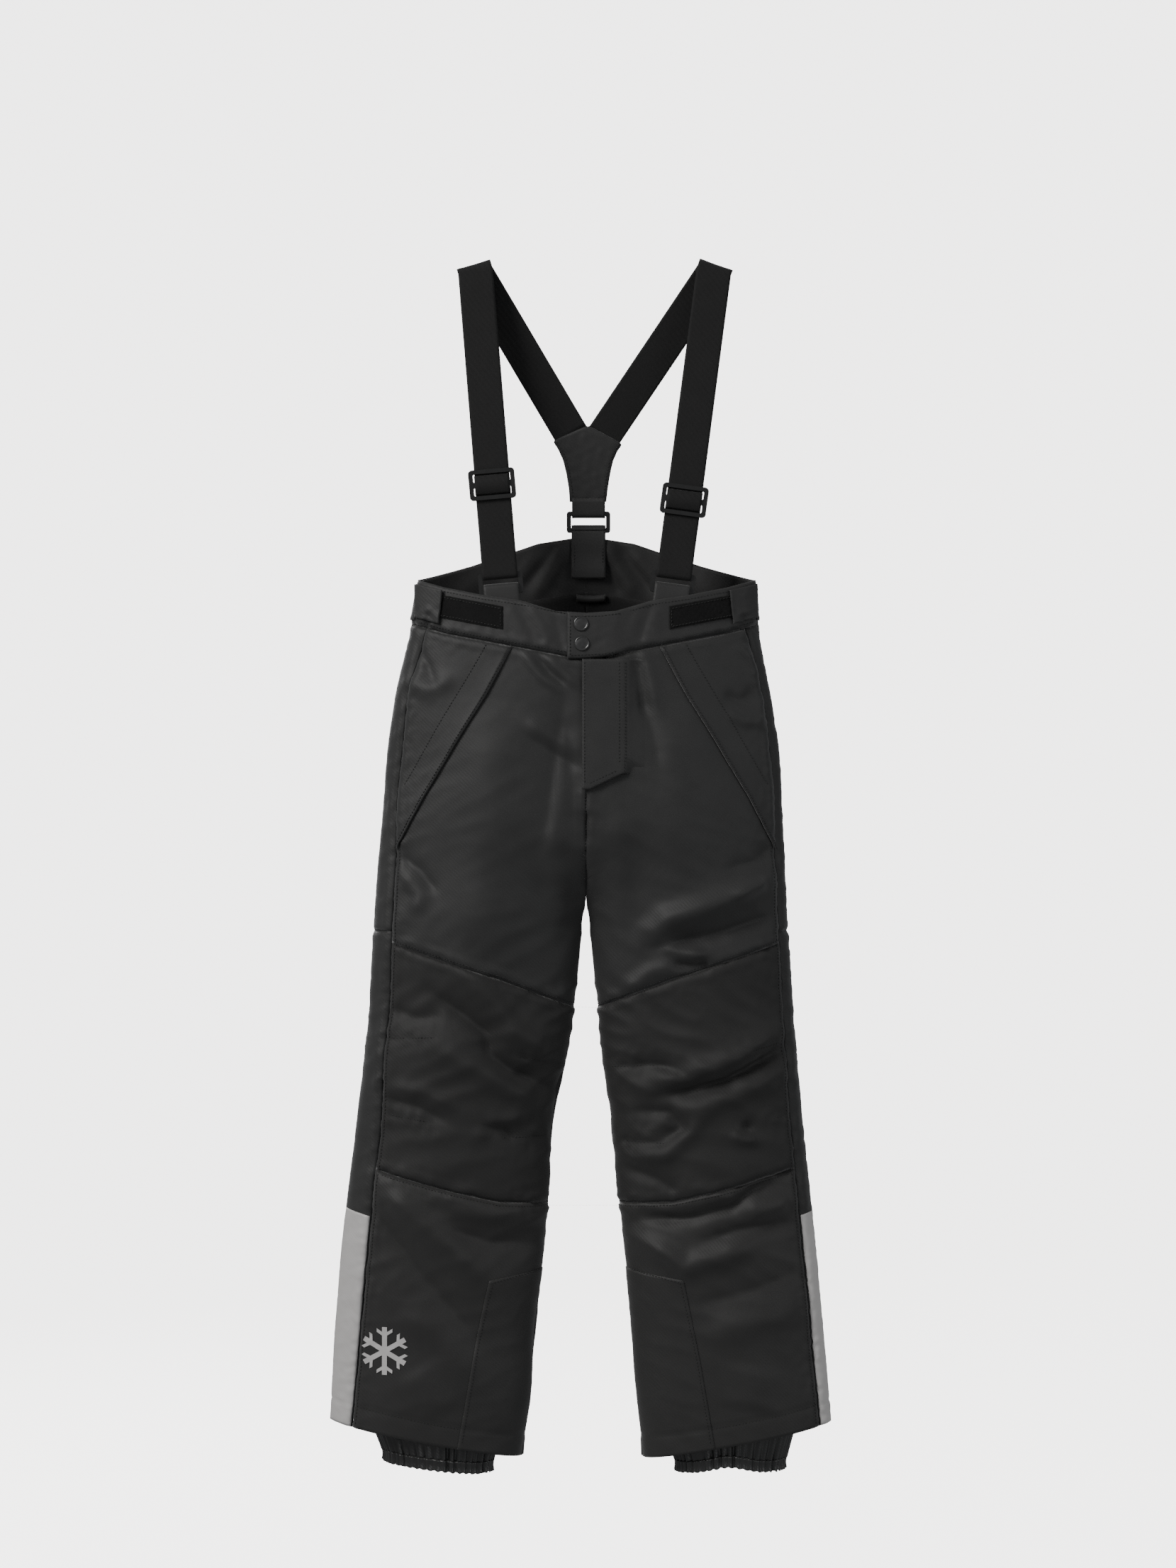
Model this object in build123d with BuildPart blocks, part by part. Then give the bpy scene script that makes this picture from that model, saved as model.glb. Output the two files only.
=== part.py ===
from build123d import *
import os
from math import atan2, cos, degrees, hypot, pi, sin

# Children's ski trousers with elastic braces, as they hang from their shoulder straps.
# Millimetres. +Z is up, +X is the wearer's left, and the front faces -Y. The origin lies between the
# tops of the two shoulder straps. Right and left are the wearer's.

# ---- driving dimensions ----
SHELL = 2.5            # shell cloth with its padding
LINING_OUT = -3.5      # lining, measured in from the outside of the shell
LINING_IN = -5.5
OVERLAY_IN = 0.1       # patches sewn on the outside of the shell
OVERLAY_OUT = 1.0
HEM_LIFT = 18          # the lining stops this far above the hem
WEBBING = 1.5          # thickness of the elastic webbing
WEBBING_WIDE = 35.5
RING_WIDE, RING_TALL, RING_BAR, RING_THICK = 45, 22, 4.4, 3.0
SLIDER_WIDE, SLIDER_TALL, SLIDER_BAR, SLIDER_THICK = 47, 31, 4.6, 2.6
BAR_CLEAR = 3.0        # inner radius of webbing round a bar
LOOP_CLEAR = 4.0       # inner radius of the cloth loops on the waistband
TAB_CLEAR = 4.4        # inner radius of the rear tab round its ring
CAP_RADIUS = 7.5       # snap cap
GAP = 0.4              # running gap between parts that move
DEEP = 150             # longer than the trousers are deep

# One trouser half is a tube lofted through these stations:
# height, outer edge right and left, inner edge right and left, front depth, back depth, leg share.
# A leg share of 0 is half of the hips, open at the middle. A share of 1 would be a closed round leg.
STATIONS = [
    (-262, 170, 172, 0, 0, 43.0, 43, 0),
    (-326, 171, 173, 0, 0, 46.8, 47, 0),
    (-375, 178, 175, 0, 0, 50.0, 51, 0),
    (-440, 194, 187, 0, 0, 54.2, 58, 0),
    (-500, 203, 197, 0, 0, 58.1, 62, 0),
    (-545, 206, 199, 0, 0, 61.0, 63, 0),
    (-600, 211, 202, 0, 0, 60.0, 63, 0),
    (-625, 213, 203, 1, 1, 59.0, 62, 0.30),
    (-655, 215, 204, 3, 3, 57.0, 59, 0.62),
    (-700, 218, 207, 6, 7, 54.0, 55, 0.84),
    (-775, 222, 212, 14, 14, 51.0, 50, 0.93),
    (-880, 234, 221, 34, 26, 50.0, 46, 0.93),
    (-1000, 249, 234, 43, 38, 46.0, 44, 0.93),
    (-1100, 257, 243, 54, 49, 44.0, 43, 0.93),
    (-1240, 264, 255, 68, 61, 42.0, 42, 0.93),
]
SECTION_STEPS = 12

# Seams as (distance from the middle, height), for either side.
BACK_TOP = [(0, -279), (50, -287), (119, -311), (173, -327)]
BAND_TOP = [(0, -363), (30, -361), (66, -350), (105, -344), (143, -336), (173, -327)]
WAIST_SEAM = [(0, -409), (18, -407), (74, -396), (140, -383), (175, -373), (320, -373)]
SIDE_SEAM = [(162, -376.7), (181, -446), (192, -541), (193, -600), (197, -696), (207, -860), (217, -970),
             (237.5, -1186)]
KNEE_TOP = [(0, -766), (15, -760), (87, -732), (145, -713), (197, -696)]
KNEE_BOTTOM = [(0, -961), (20, -961), (87, -957), (154, -941)]
HEM = [(0, -1228), (40, -1224), (62, -1220), (237.5, -1186), (258, -1182), (300, -1174)]
POCKET_EDGE = [(73, -397), (100, -445), (128, -490), (162, -546), (192, -600)]
KICK_PATCH = [(20, -1024), (98, -1036), (115, -1118), (130, -1207), (62, -1220), (20, -1228)]
STRIP = [(217.5, -973), (300, -955), (300, -1174), (258, -1182), (239, -1186)]
POCKET_BAG = [(62, -420), (150, -402), (168, -500), (150, -588), (80, -592), (62, -560)]
SIDE_BREAK = -684      # seam across the side panel
BACK_KNEE = -805       # seam across the back of the leg
BACK_WAIST = -373
KNEE_SIDE = -925       # height of the lower knee seam at the side
WIDE = 320             # outside every outline

# The fly and the waist closure lie on one sloping plane that touches the front of the hips.
FLY_TOP, FLY_BOTTOM = -409, -541
FLY_SLOPE = (61.0 - 46.8) / (545 - 326)
FLY_DEPTH = 46.8 + FLY_SLOPE * (-326 - FLY_TOP)
PLACKET_EDGE, PLACKET_HINGE, PLACKET_SEAM = -4, 37.8, 42
PLACKET_IN, PLACKET_OUT = 2.6, 3.8
ZIP_X = 14
ZIP_SLOT = 7
ZIP_LENGTH = 118
FLAP_EDGE, FLAP_HINGE = -19, 35.5
FLAP_TALL = 46
UNDERLAP_END = 28
SNAPS = [(-5, -374), (-4, -394)]

# Braces: top centre of each strap and middle of the ring's top bar below it, as (x, y, z).
STRAP_TOP = {-1: (-115, -3.5, -5), 1: (133, -3.5, -5)}
STRAP_FOOT = {-1: (-87, -31, -323.5), 1: (89, -31, -323.5)}
SLIDER_UP = {-1: 92, 1: 76}          # slider's middle above the foot, along the strap
REAR_TOP_Y = 7.2
REAR_SLOPE = 0.129
YOKE_JOIN = {-1: (-16.5, -173), 1: (19.5, -175)}   # where each back strap meets the yoke, as (x, z)
REAR_RING = (2.5, -264.8)
TAB_WIDE, TAB_TALL, TAB_THICK = 35, 49, 1.8

SIDES = {-1: "right", 1: "left"}
os.makedirs("parts", exist_ok=True)


def save(piece, name):
    """Labels a finished piece and writes it."""
    piece.part.label = name
    export_step(piece.part, f"parts/{name}.step")


# ---- the trouser tube and how panels are cut from it ----
def section_points(station, side, grow, reach):
    """Points round one half at one station. Grow moves them out; reach carries an open edge past the middle."""
    _, right, left, inner_right, inner_left, front, back, share = station
    outer = right if side < 0 else left
    inner = inner_right if side < 0 else inner_left
    inner_leg = inner / share if share else 0
    centre, half = (outer + inner_leg) / 2, (outer - inner_leg) / 2
    points = []
    for step in range(SECTION_STEPS + 1):
        turn = pi * step / SECTION_STEPS
        depth = grow + (front if 2 * step < SECTION_STEPS else back)
        hip_x = (outer + grow) * sin(turn)
        if share == 0 and step in (0, SECTION_STEPS):
            hip_x = -reach
        leg_x = centre - (half + grow) * cos(2 * turn)
        x = (1 - share) * hip_x + share * leg_x
        y = -depth * ((1 - share) * cos(turn) + share * sin(2 * turn))
        points.append((side * x, y))
    return points


def tube(side, grow, reach=0):
    """Solid of one trouser half out to the given offset."""
    with BuildPart() as solid:
        for station in STATIONS:
            with BuildSketch(Plane.XY.offset(station[0])):
                with BuildLine():
                    edge = Spline(*section_points(station, side, grow, reach))
                    Line(edge @ 1, edge @ 0)
                make_face()
        loft(ruled=True)
    return solid.part


def skin(side, inside, outside):
    """Layer of one trouser half between two offsets."""
    with BuildPart() as layer:
        add(tube(side, outside))
        add(tube(side, inside, reach=6), mode=Mode.SUBTRACT)
    return layer.part


def keep_inside(outline, low=-DEEP, high=DEEP):
    """Keeps what lies behind an outline drawn as (x, z), between two depths."""
    with BuildSketch(Plane.XZ.offset(-high)) as region:
        with BuildLine():
            Polyline(*outline, close=True)
        make_face()
    extrude(region.sketch, amount=high - low, mode=Mode.INTERSECT)


def on_side(points, side):
    return [(side * x, z) for x, z in points]


def panel(layer, outline, side, low=-DEEP, high=DEEP):
    """One sewn panel: a layer cut along an outline."""
    with BuildPart() as piece:
        add(layer)
        keep_inside(on_side(outline, side), low, high)
    return piece


up_slope = hypot(1, FLY_SLOPE)
fly_plane = Plane(origin=(0, -FLY_DEPTH, FLY_TOP), x_dir=(1, 0, 0),
                  z_dir=(0, -1 / up_slope, FLY_SLOPE / up_slope))


def fly_block(x_low, x_high, z_low, z_high, deep, proud):
    """A block on the fly plane, from one offset to another."""
    with BuildSketch(fly_plane.offset(deep)) as footprint:
        with Locations(((x_low + x_high) / 2, (z_low + z_high) / 2 - FLY_TOP)):
            Rectangle(x_high - x_low, z_high - z_low)
    extrude(footprint.sketch, amount=proud - deep)


SHELLS = {side: skin(side, -SHELL, 0) for side in SIDES}
OVERLAYS = {side: skin(side, OVERLAY_IN, OVERLAY_OUT) for side in SIDES}
LININGS = {side: skin(side, LINING_IN, LINING_OUT) for side in SIDES}

# ---- front, side and back panels ----
def seam_at(z):
    """Distance of the side seam from the middle at a height."""
    for (x_high, z_high), (x_low, z_low) in zip(SIDE_SEAM, SIDE_SEAM[1:]):
        if z_low <= z <= z_high:
            return x_high + (x_low - x_high) * (z - z_high) / (z_low - z_high)


def seam_run(top, bottom):
    """The side seam between two heights, from the top down."""
    inside = [p for p in SIDE_SEAM if bottom < p[1] < top]
    return [(seam_at(top), top)] + inside + [(seam_at(bottom), bottom)]


def waist_run(start, end):
    """The waist seam between two of its points, from the middle outwards."""
    return [p for p in WAIST_SEAM if start <= p[0] <= end]


seam_top, seam_end = SIDE_SEAM[0], SIDE_SEAM[-1]
knee_side = KNEE_TOP[-1][1]
fly_slot = [(ZIP_X - ZIP_SLOT, FLY_TOP + 1), (ZIP_X + ZIP_SLOT, FLY_TOP + 1),
            (ZIP_X + ZIP_SLOT, FLY_BOTTOM + 10), (ZIP_X - ZIP_SLOT, FLY_BOTTOM + 10)]
front_thighs = {}
for side, word in SIDES.items():
    thigh = waist_run(0, 140) + seam_run(seam_top[1], knee_side) + KNEE_TOP[-2::-1]
    with BuildPart() as front_thigh:
        add(panel(SHELLS[side], thigh, side, high=0).part)
        with BuildSketch(Plane.XZ):
            with BuildLine():
                Polyline(*fly_slot, close=True)
            make_face()
        extrude(amount=DEEP, mode=Mode.SUBTRACT)
        if side > 0:
            # Folded seam allowance that carries the placket.
            fly_block(PLACKET_HINGE + GAP, PLACKET_SEAM, FLY_TOP - 114, FLY_TOP - 0.6, -2, PLACKET_OUT)
    front_thighs[side] = front_thigh.part
    save(front_thigh, f"front_thigh_{word}")

    knee = KNEE_TOP[:-1] + seam_run(knee_side, KNEE_SIDE) + KNEE_BOTTOM[::-1]
    save(panel(SHELLS[side], knee, side, high=0), f"knee_panel_{word}")

    shin = KNEE_BOTTOM + seam_run(KNEE_SIDE, seam_end[1]) + HEM[2::-1]
    save(panel(SHELLS[side], shin, side, high=0), f"shin_panel_{word}")

    side_top = seam_run(seam_top[1], SIDE_BREAK) + [(WIDE, SIDE_BREAK), (WIDE, -373), (175, -373)]
    save(panel(SHELLS[side], side_top, side), f"side_panel_upper_{word}")
    side_low = seam_run(SIDE_BREAK, seam_end[1]) + HEM[4:] + [(WIDE, -1170), (WIDE, SIDE_BREAK)]
    save(panel(SHELLS[side], side_low, side), f"side_panel_lower_{word}")

    seat = [(0, BACK_WAIST), (162, BACK_WAIST)] + seam_run(seam_top[1], BACK_KNEE) + [(0, BACK_KNEE)]
    save(panel(SHELLS[side], seat, side, low=0), f"seat_panel_{word}")
    calf = [(0, BACK_KNEE)] + seam_run(BACK_KNEE, seam_end[1]) + HEM[2::-1]
    save(panel(SHELLS[side], calf, side, low=0), f"back_leg_panel_{word}")

    # Quilted lining, with a slot behind the fly.
    lining = [(0, FLY_TOP - 3), (300, -405), (300, -1174 + HEM_LIFT), (0, -1232 + HEM_LIFT)]
    with BuildPart() as leg_lining:
        add(panel(LININGS[side], lining, side).part)
        with BuildSketch(Plane.XZ):
            with Locations(((PLACKET_EDGE + 36) / 2, (FLY_TOP + FLY_BOTTOM) / 2)):
                Rectangle(46, FLY_TOP - FLY_BOTTOM + 12)
        extrude(amount=DEEP, mode=Mode.SUBTRACT)
    save(leg_lining, f"leg_lining_{word}")

    # Pocket flap sewn over the shell.
    flap_side = [(x - 1, z) for x, z in seam_run(seam_top[1], -600)]
    flap = waist_run(75, 140) + flap_side + POCKET_EDGE[-2::-1]
    save(panel(OVERLAYS[side], [(x, z - 1) for x, z in flap], side, high=0), f"pocket_flap_{word}")


def pair(make):
    """One node with the same piece on the right and on the left."""
    with BuildPart() as both:
        for each in SIDES:
            add(make(each))
    return both


def kick_patch(side):
    return panel(OVERLAYS[side], KICK_PATCH, side).part


def reflective_strip(side):
    return panel(OVERLAYS[side], STRIP, side, high=-4).part


def pocket_bag(side):
    """Flat bag behind the lining, lying empty."""
    return panel(skin(side, LINING_IN - 2.2, LINING_IN - 0.2), POCKET_BAG, side, high=-8).part


save(pair(kick_patch), "kick_patches")
save(pair(reflective_strip), "reflective_strips")
save(pair(pocket_bag), "pocket_bags")

# ---- snow emblem: a six-armed crystal of reflective film ----
EMBLEM = (-203, -1107)
with BuildPart() as leg_emblem:
    add(OVERLAYS[-1])
    with BuildSketch(Plane.XZ):
        with Locations(EMBLEM):
            with PolarLocations(0, 6, start_angle=30):
                with Locations((12, 0)):
                    Rectangle(24, 5)
                with Locations((17, 0)):
                    Rectangle(3.5, 16)
    extrude(amount=DEEP, mode=Mode.INTERSECT)
save(leg_emblem, "leg_emblem")

# ---- waistband and high back ----
band_low = WAIST_SEAM + [(WIDE, -320)]
band_outline = band_low + BAND_TOP[::-1]
with BuildPart() as waistband_right:
    add(panel(SHELLS[-1], band_outline, -1, high=0).part)
    underlap = [(0, -363), (UNDERLAP_END, -361), (UNDERLAP_END, -405), (0, -409)]
    add(panel(SHELLS[1], underlap, 1, high=0).part)
save(waistband_right, "waistband_right")

left_start = FLAP_HINGE + 0.8
left_band = [(left_start, -359), (left_start, -403.5)] + [p for p in band_low if p[0] > left_start]
left_band += [p for p in BAND_TOP[::-1] if p[0] > left_start]
waistband_left = panel(SHELLS[1], left_band, 1, high=0)
save(waistband_left, "waistband_left")

back_outline = on_side(BACK_TOP[::-1], -1) + BACK_TOP[1:] + [(WIDE, -327), (WIDE, BACK_WAIST)]
back_outline += [(-WIDE, BACK_WAIST), (-WIDE, -327)]
with BuildPart() as high_back:
    for side in SIDES:
        add(SHELLS[side])
    keep_inside(back_outline, low=0)
save(high_back, "high_back")

facing_edge = [(168, -373), (66, -352), (0, -341), (-66, -352), (-168, -373)]
facing_top = [(x, z - 1) for x, z in on_side(BACK_TOP[::-1], -1) + BACK_TOP[1:]]
with BuildPart() as back_facing:
    for side in SIDES:
        add(LININGS[side])
    keep_inside(facing_top[1:-1] + [(168, -328)] + facing_edge + [(-168, -328)], low=4)
save(back_facing, "back_facing")

with BuildPart() as hanger_loop:
    with BuildSketch(Plane.YZ.offset(-10)):
        with Locations((39.2, -345)):
            Ellipse(4.2, 5)
            Ellipse(3, 3.8, mode=Mode.SUBTRACT)
    extrude(amount=30)
    add(back_facing.part, mode=Mode.SUBTRACT)
save(hanger_loop, "hanger_loop")

# ---- fly: placket, zip and underlap, on the sloping front plane ----
with BuildPart() as fly_placket:
    with BuildSketch(fly_plane.offset(PLACKET_IN)):
        with BuildLine():
            Polyline((PLACKET_EDGE, -0.6), (PLACKET_HINGE - GAP, -0.6), (PLACKET_HINGE - GAP, -116),
                     (PLACKET_EDGE + 8, -132), (PLACKET_EDGE, -132), close=True)
        make_face()
    extrude(amount=PLACKET_OUT - PLACKET_IN)
save(fly_placket, "fly_placket")

with BuildPart() as zip_tapes:
    for direction in (-1, 1):
        near, far = ZIP_X + direction * 1.8, ZIP_X + direction * 16
        fly_block(min(near, far), max(near, far), FLY_TOP - ZIP_LENGTH - 4, FLY_TOP - 3, -3.4, -2.65)
    for side in SIDES:
        add(front_thighs[side], mode=Mode.SUBTRACT)
save(zip_tapes, "zip_tapes")

with BuildPart() as zip_coil:
    fly_block(ZIP_X - 2.6, ZIP_X + 2.6, FLY_TOP - ZIP_LENGTH, FLY_TOP - 4, -2.65, -1.6)
save(zip_coil, "zip_coil")

with BuildPart() as zip_slider:
    fly_block(ZIP_X - 4.2, ZIP_X + 4.2, FLY_TOP - 14, FLY_TOP - 4.5, -1.2, 0.2)
    with BuildSketch(fly_plane.offset(0.2)):
        with Locations((ZIP_X, -10)):
            Rectangle(2.2, 5)
    extrude(amount=0.9)
save(zip_slider, "zip_slider")

with BuildPart() as zip_pull:
    with BuildSketch(fly_plane.offset(1.15 + GAP / 2)):
        with Locations((ZIP_X, -24)):
            RectangleRounded(5.5, 24, 2)
        with Locations((ZIP_X, -31.5)):
            Rectangle(2.6, 5, mode=Mode.SUBTRACT)
    extrude(amount=0.9)
save(zip_pull, "zip_pull")

with BuildPart() as fly_underlap:
    fly_block(-12, 40, FLY_BOTTOM - 3, FLY_TOP - 4, -6.6, -5.4)
    add(skin(1, LINING_IN, 5), mode=Mode.SUBTRACT)
    add(skin(-1, LINING_IN, 5), mode=Mode.SUBTRACT)
save(fly_underlap, "fly_underlap")

# ---- waist closure: overlapping flap with two snaps ----
FLAP_IN, FLAP_OUT = 0.5, 2.6
with BuildPart() as waist_flap:
    fly_block(FLAP_EDGE, FLAP_HINGE - 0.4, FLY_TOP, FLY_TOP + FLAP_TALL, FLAP_IN, FLAP_OUT)
    with BuildSketch(fly_plane):
        with Locations(*[(x, z - FLY_TOP) for x, z in SNAPS]):
            Circle(1.6)
    extrude(amount=5, mode=Mode.SUBTRACT)
save(waist_flap, "waist_flap")

with BuildPart() as snap_caps:
    with BuildSketch(fly_plane.offset(FLAP_OUT)):
        with Locations(*[(x, z - FLY_TOP) for x, z in SNAPS]):
            Circle(CAP_RADIUS)
    extrude(amount=1.2)
    with BuildSketch(fly_plane.offset(FLAP_OUT + 1.2)):
        with Locations(*[(x, z - FLY_TOP) for x, z in SNAPS]):
            Circle(CAP_RADIUS - 1.2)
    extrude(amount=0.8)
    with BuildSketch(fly_plane.offset(FLAP_IN)):
        with Locations(*[(x, z - FLY_TOP) for x, z in SNAPS]):
            Circle(1.55)
    extrude(amount=FLAP_OUT - FLAP_IN)
save(snap_caps, "snap_caps")

with BuildPart() as snap_studs:
    with BuildSketch(fly_plane.offset(-SHELL - 1)):
        with Locations(*[(x, z - FLY_TOP) for x, z in SNAPS]):
            Circle(5)
    extrude(amount=0.8)
save(snap_studs, "snap_studs")

# ---- waist adjusters: hook tab that swings on the side, loop patch and sewn base ----
TAB_ROOT = 171
LOOP_PATCH = [(160, -340), (84, -355), (84, -379), (160, -364)]
HOOK_PATCH = [(168, -338), (147, -343), (147, -367), (168, -362)]
TAB = [(TAB_ROOT, -332), (145, -338), (148, -373), (TAB_ROOT, -366)]
TAB_BASE = [(TAB_ROOT + 2, -331), (WIDE, -331), (WIDE, -368), (TAB_ROOT + 2, -368)]


def loop_patch(side):
    return panel(skin(side, 0.1, 1.2), LOOP_PATCH, side, high=0).part


def adjuster_base(side):
    return panel(skin(side, 0.1, 1.9), TAB_BASE, side, high=30).part


save(pair(loop_patch), "loop_patches")
save(pair(adjuster_base), "adjuster_bases")
for side, word in SIDES.items():
    save(panel(skin(side, 1.6, 2.3), HOOK_PATCH, side, high=0), f"hook_patch_{word}")
    save(panel(skin(side, 2.3, 3.9), TAB, side, high=0), f"adjuster_tab_{word}")

# ---- snow gaiters inside the hems ----
GAITER_TOP_X = {-1: -155.5, 1: 146}
GAITER_FOOT_X = {-1: -150.5, 1: 147}
for side, word in SIDES.items():
    top_x, foot_x = GAITER_TOP_X[side], GAITER_FOOT_X[side]
    gaiter_rings = [(-1096, top_x, 88, 33), (-1140, top_x, 84, 32), (-1224, foot_x, 57, 32)]
    with BuildPart() as snow_gaiter:
        for sink, mode in ((0, Mode.ADD), (1.2, Mode.SUBTRACT)):
            for z, x, half, depth in gaiter_rings:
                with BuildSketch(Plane.XY.offset(z)):
                    with Locations((x, 0)):
                        Ellipse(half - sink, depth - sink)
            loft(ruled=True, mode=mode)
    save(snow_gaiter, f"snow_gaiter_{word}")

with BuildPart() as gaiter_elastics:
    with BuildSketch(Plane.XY.offset(-1234.5)):
        with Locations(*[(x, 0) for x in GAITER_FOOT_X.values()]):
            Ellipse(58.5, 34.5)
            Ellipse(55.5, 31.5, mode=Mode.SUBTRACT)
    extrude(amount=10)
save(gaiter_elastics, "gaiter_elastics")


# ---- braces ----
def strap_plane(foot, top):
    """Plane of a strap: local Y runs up the strap, and the normal faces the front."""
    along = (Vector(*top) - Vector(*foot)).normalized()
    across = Vector(1, 0, 0) - along * along.dot(Vector(1, 0, 0))
    return Plane(origin=foot, x_dir=across, z_dir=across.normalized().cross(along))


def edge_plane(plane, x, up):
    """Plane across a strap, for profiles drawn as (up, forward) and extruded along its width."""
    return Plane(origin=plane.from_local_coords((x, up, 0)), x_dir=plane.y_dir, z_dir=plane.x_dir)


def hairpin(plane, centre, wide, bar_up, radius, thick, front_end, back_end, below=True):
    """Webbing bent round a bar: half a ring and two straight ends, which run up if the bend is below."""
    sense = 1 if below else -1
    with BuildSketch(edge_plane(plane, centre - wide / 2, bar_up)) as profile:
        Circle(radius + thick)
        Circle(radius, mode=Mode.SUBTRACT)
        with Locations((sense * (radius + thick), 0)):
            Rectangle(2 * (radius + thick), 4 * (radius + thick), mode=Mode.SUBTRACT)
        for end, forward in ((front_end, 1), (back_end, -1)):
            with Locations((sense * end / 2, forward * (radius + thick / 2))):
                Rectangle(end, thick)
    extrude(profile.sketch, amount=wide)


def ring_on(plane, centre, middle_up):
    """Flat rectangular ring."""
    with BuildSketch(plane.offset(-RING_THICK / 2)) as outline:
        with Locations((centre, middle_up)):
            RectangleRounded(RING_WIDE, RING_TALL, 3)
            RectangleRounded(RING_WIDE - 2 * RING_BAR, RING_TALL - 2 * RING_BAR, 1.5, mode=Mode.SUBTRACT)
    extrude(outline.sketch, amount=RING_THICK)


rear_len = hypot(1, REAR_SLOPE)
rear_plane = Plane(origin=(0, REAR_TOP_Y, 0), x_dir=(1, 0, 0), z_dir=(0, -1 / rear_len, -REAR_SLOPE / rear_len))
RING_REACH = (RING_TALL - RING_BAR) / 2      # ring's middle to the middle of a bar
shoulder_straps = {}

for side, word in SIDES.items():
    plane = strap_plane(STRAP_FOOT[side], STRAP_TOP[side])
    top = Vector(*STRAP_TOP[side])
    foot = Vector(*STRAP_FOOT[side])
    run = (top - foot).length
    join_x, join_z = YOKE_JOIN[side]
    back_lean = atan2(abs(top.X - join_x), top.Z - join_z)
    front_lean = atan2(abs(top.X - foot.X), top.Z - foot.Z)
    fold = side * (back_lean + front_lean) / 2
    fold_up = Vector(sin(fold), 0, cos(fold))
    fold_along = Vector(cos(fold), 0, -sin(fold))
    bend = REAR_TOP_Y + WEBBING / 2
    fold_wide = WEBBING_WIDE / cos((back_lean - front_lean) / 2)
    fold_centre = Vector(top.X, 0, top.Z) - fold_up * bend

    with BuildPart() as shoulder_strap:
        # Front run.
        with BuildSketch(plane.offset(BAR_CLEAR)):
            with Locations((0, run / 2 + 10)):
                Rectangle(WEBBING_WIDE, run + 14)
        extrude(amount=WEBBING)
        # Back run, down to the yoke.
        back_run = (Vector(join_x, 0, join_z) - Vector(top.X, 0, top.Z)).length
        with BuildSketch(rear_plane.offset(-WEBBING / 2)):
            with Locations(Location(((top.X + join_x) / 2, (top.Z + join_z) / 2 * rear_len, 0),
                                    (0, 0, -side * degrees(back_lean)))):
                Rectangle(WEBBING_WIDE, back_run * 1.008)
                with Locations((0, back_run / 2)):
                    Rectangle(WEBBING_WIDE, 40)
        extrude(amount=WEBBING)
        split(bisect_by=Plane(origin=fold_centre + fold_up * 0.5, z_dir=fold_up), keep=Keep.BOTTOM)
        # The bend over the shoulder.
        with BuildSketch(Plane(origin=fold_centre - fold_along * (fold_wide / 2), x_dir=fold_up, z_dir=fold_along)):
            Circle(bend)
            Circle(bend - WEBBING, mode=Mode.SUBTRACT)
            with Locations((-bend, 0)):
                Rectangle(2 * bend, 4 * bend, mode=Mode.SUBTRACT)
        extrude(amount=fold_wide)
        # The turn round the ring's top bar.
        hairpin(plane, 0, WEBBING_WIDE, 0, BAR_CLEAR, WEBBING, 14, 12)
    shoulder_straps[side] = shoulder_strap.part
    save(shoulder_strap, f"shoulder_strap_{word}")

    with BuildPart() as strap_return:
        with BuildSketch(plane.offset(-BAR_CLEAR - WEBBING)):
            with Locations((0, (12.2 + SLIDER_UP[side]) / 2)):
                Rectangle(WEBBING_WIDE, SLIDER_UP[side] - 12.2)
        extrude(amount=WEBBING)
    save(strap_return, f"strap_return_{word}")

    slider_back = BAR_CLEAR + WEBBING + GAP
    with BuildPart() as strap_slider:
        with BuildSketch(plane.offset(slider_back)):
            with Locations((0, SLIDER_UP[side])):
                RectangleRounded(SLIDER_WIDE, SLIDER_TALL, 4)
                with Locations((0, 7), (0, -7)):
                    RectangleRounded(SLIDER_WIDE - 2 * SLIDER_BAR, 8.6, 1.5, mode=Mode.SUBTRACT)
        extrude(amount=SLIDER_THICK)
    save(strap_slider, f"strap_slider_{word}")

    # Webbing over the slider's middle bar.
    arch_in = slider_back + SLIDER_THICK + 0.1
    with BuildPart() as strap_bight:
        with BuildSketch(edge_plane(plane, -WEBBING_WIDE / 2, SLIDER_UP[side])):
            with BuildLine():
                outer = ThreePointArc((-10, slider_back + 0.3), (0, arch_in + WEBBING), (10, slider_back + 0.3))
                inner = ThreePointArc((-8.2, slider_back + 0.3), (0, arch_in), (8.2, slider_back + 0.3))
                Line(outer @ 0, inner @ 0)
                Line(outer @ 1, inner @ 1)
            make_face()
        extrude(amount=WEBBING_WIDE)
        add(strap_slider.part, mode=Mode.SUBTRACT)
    save(strap_bight, f"strap_bight_{word}")

    with BuildPart() as front_ring:
        ring_on(plane, 0, -RING_REACH)
    save(front_ring, f"front_ring_{word}")

with BuildPart() as waist_loops:
    for side in SIDES:
        plane = strap_plane(STRAP_FOOT[side], STRAP_TOP[side])
        hairpin(plane, 0, WEBBING_WIDE, -2 * RING_REACH + 3.4, LOOP_CLEAR, WEBBING, 18, 18, below=False)
    for neighbour in (waistband_right.part, waistband_left.part):
        add(neighbour, mode=Mode.SUBTRACT)
save(waist_loops, "waist_loops")

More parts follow.
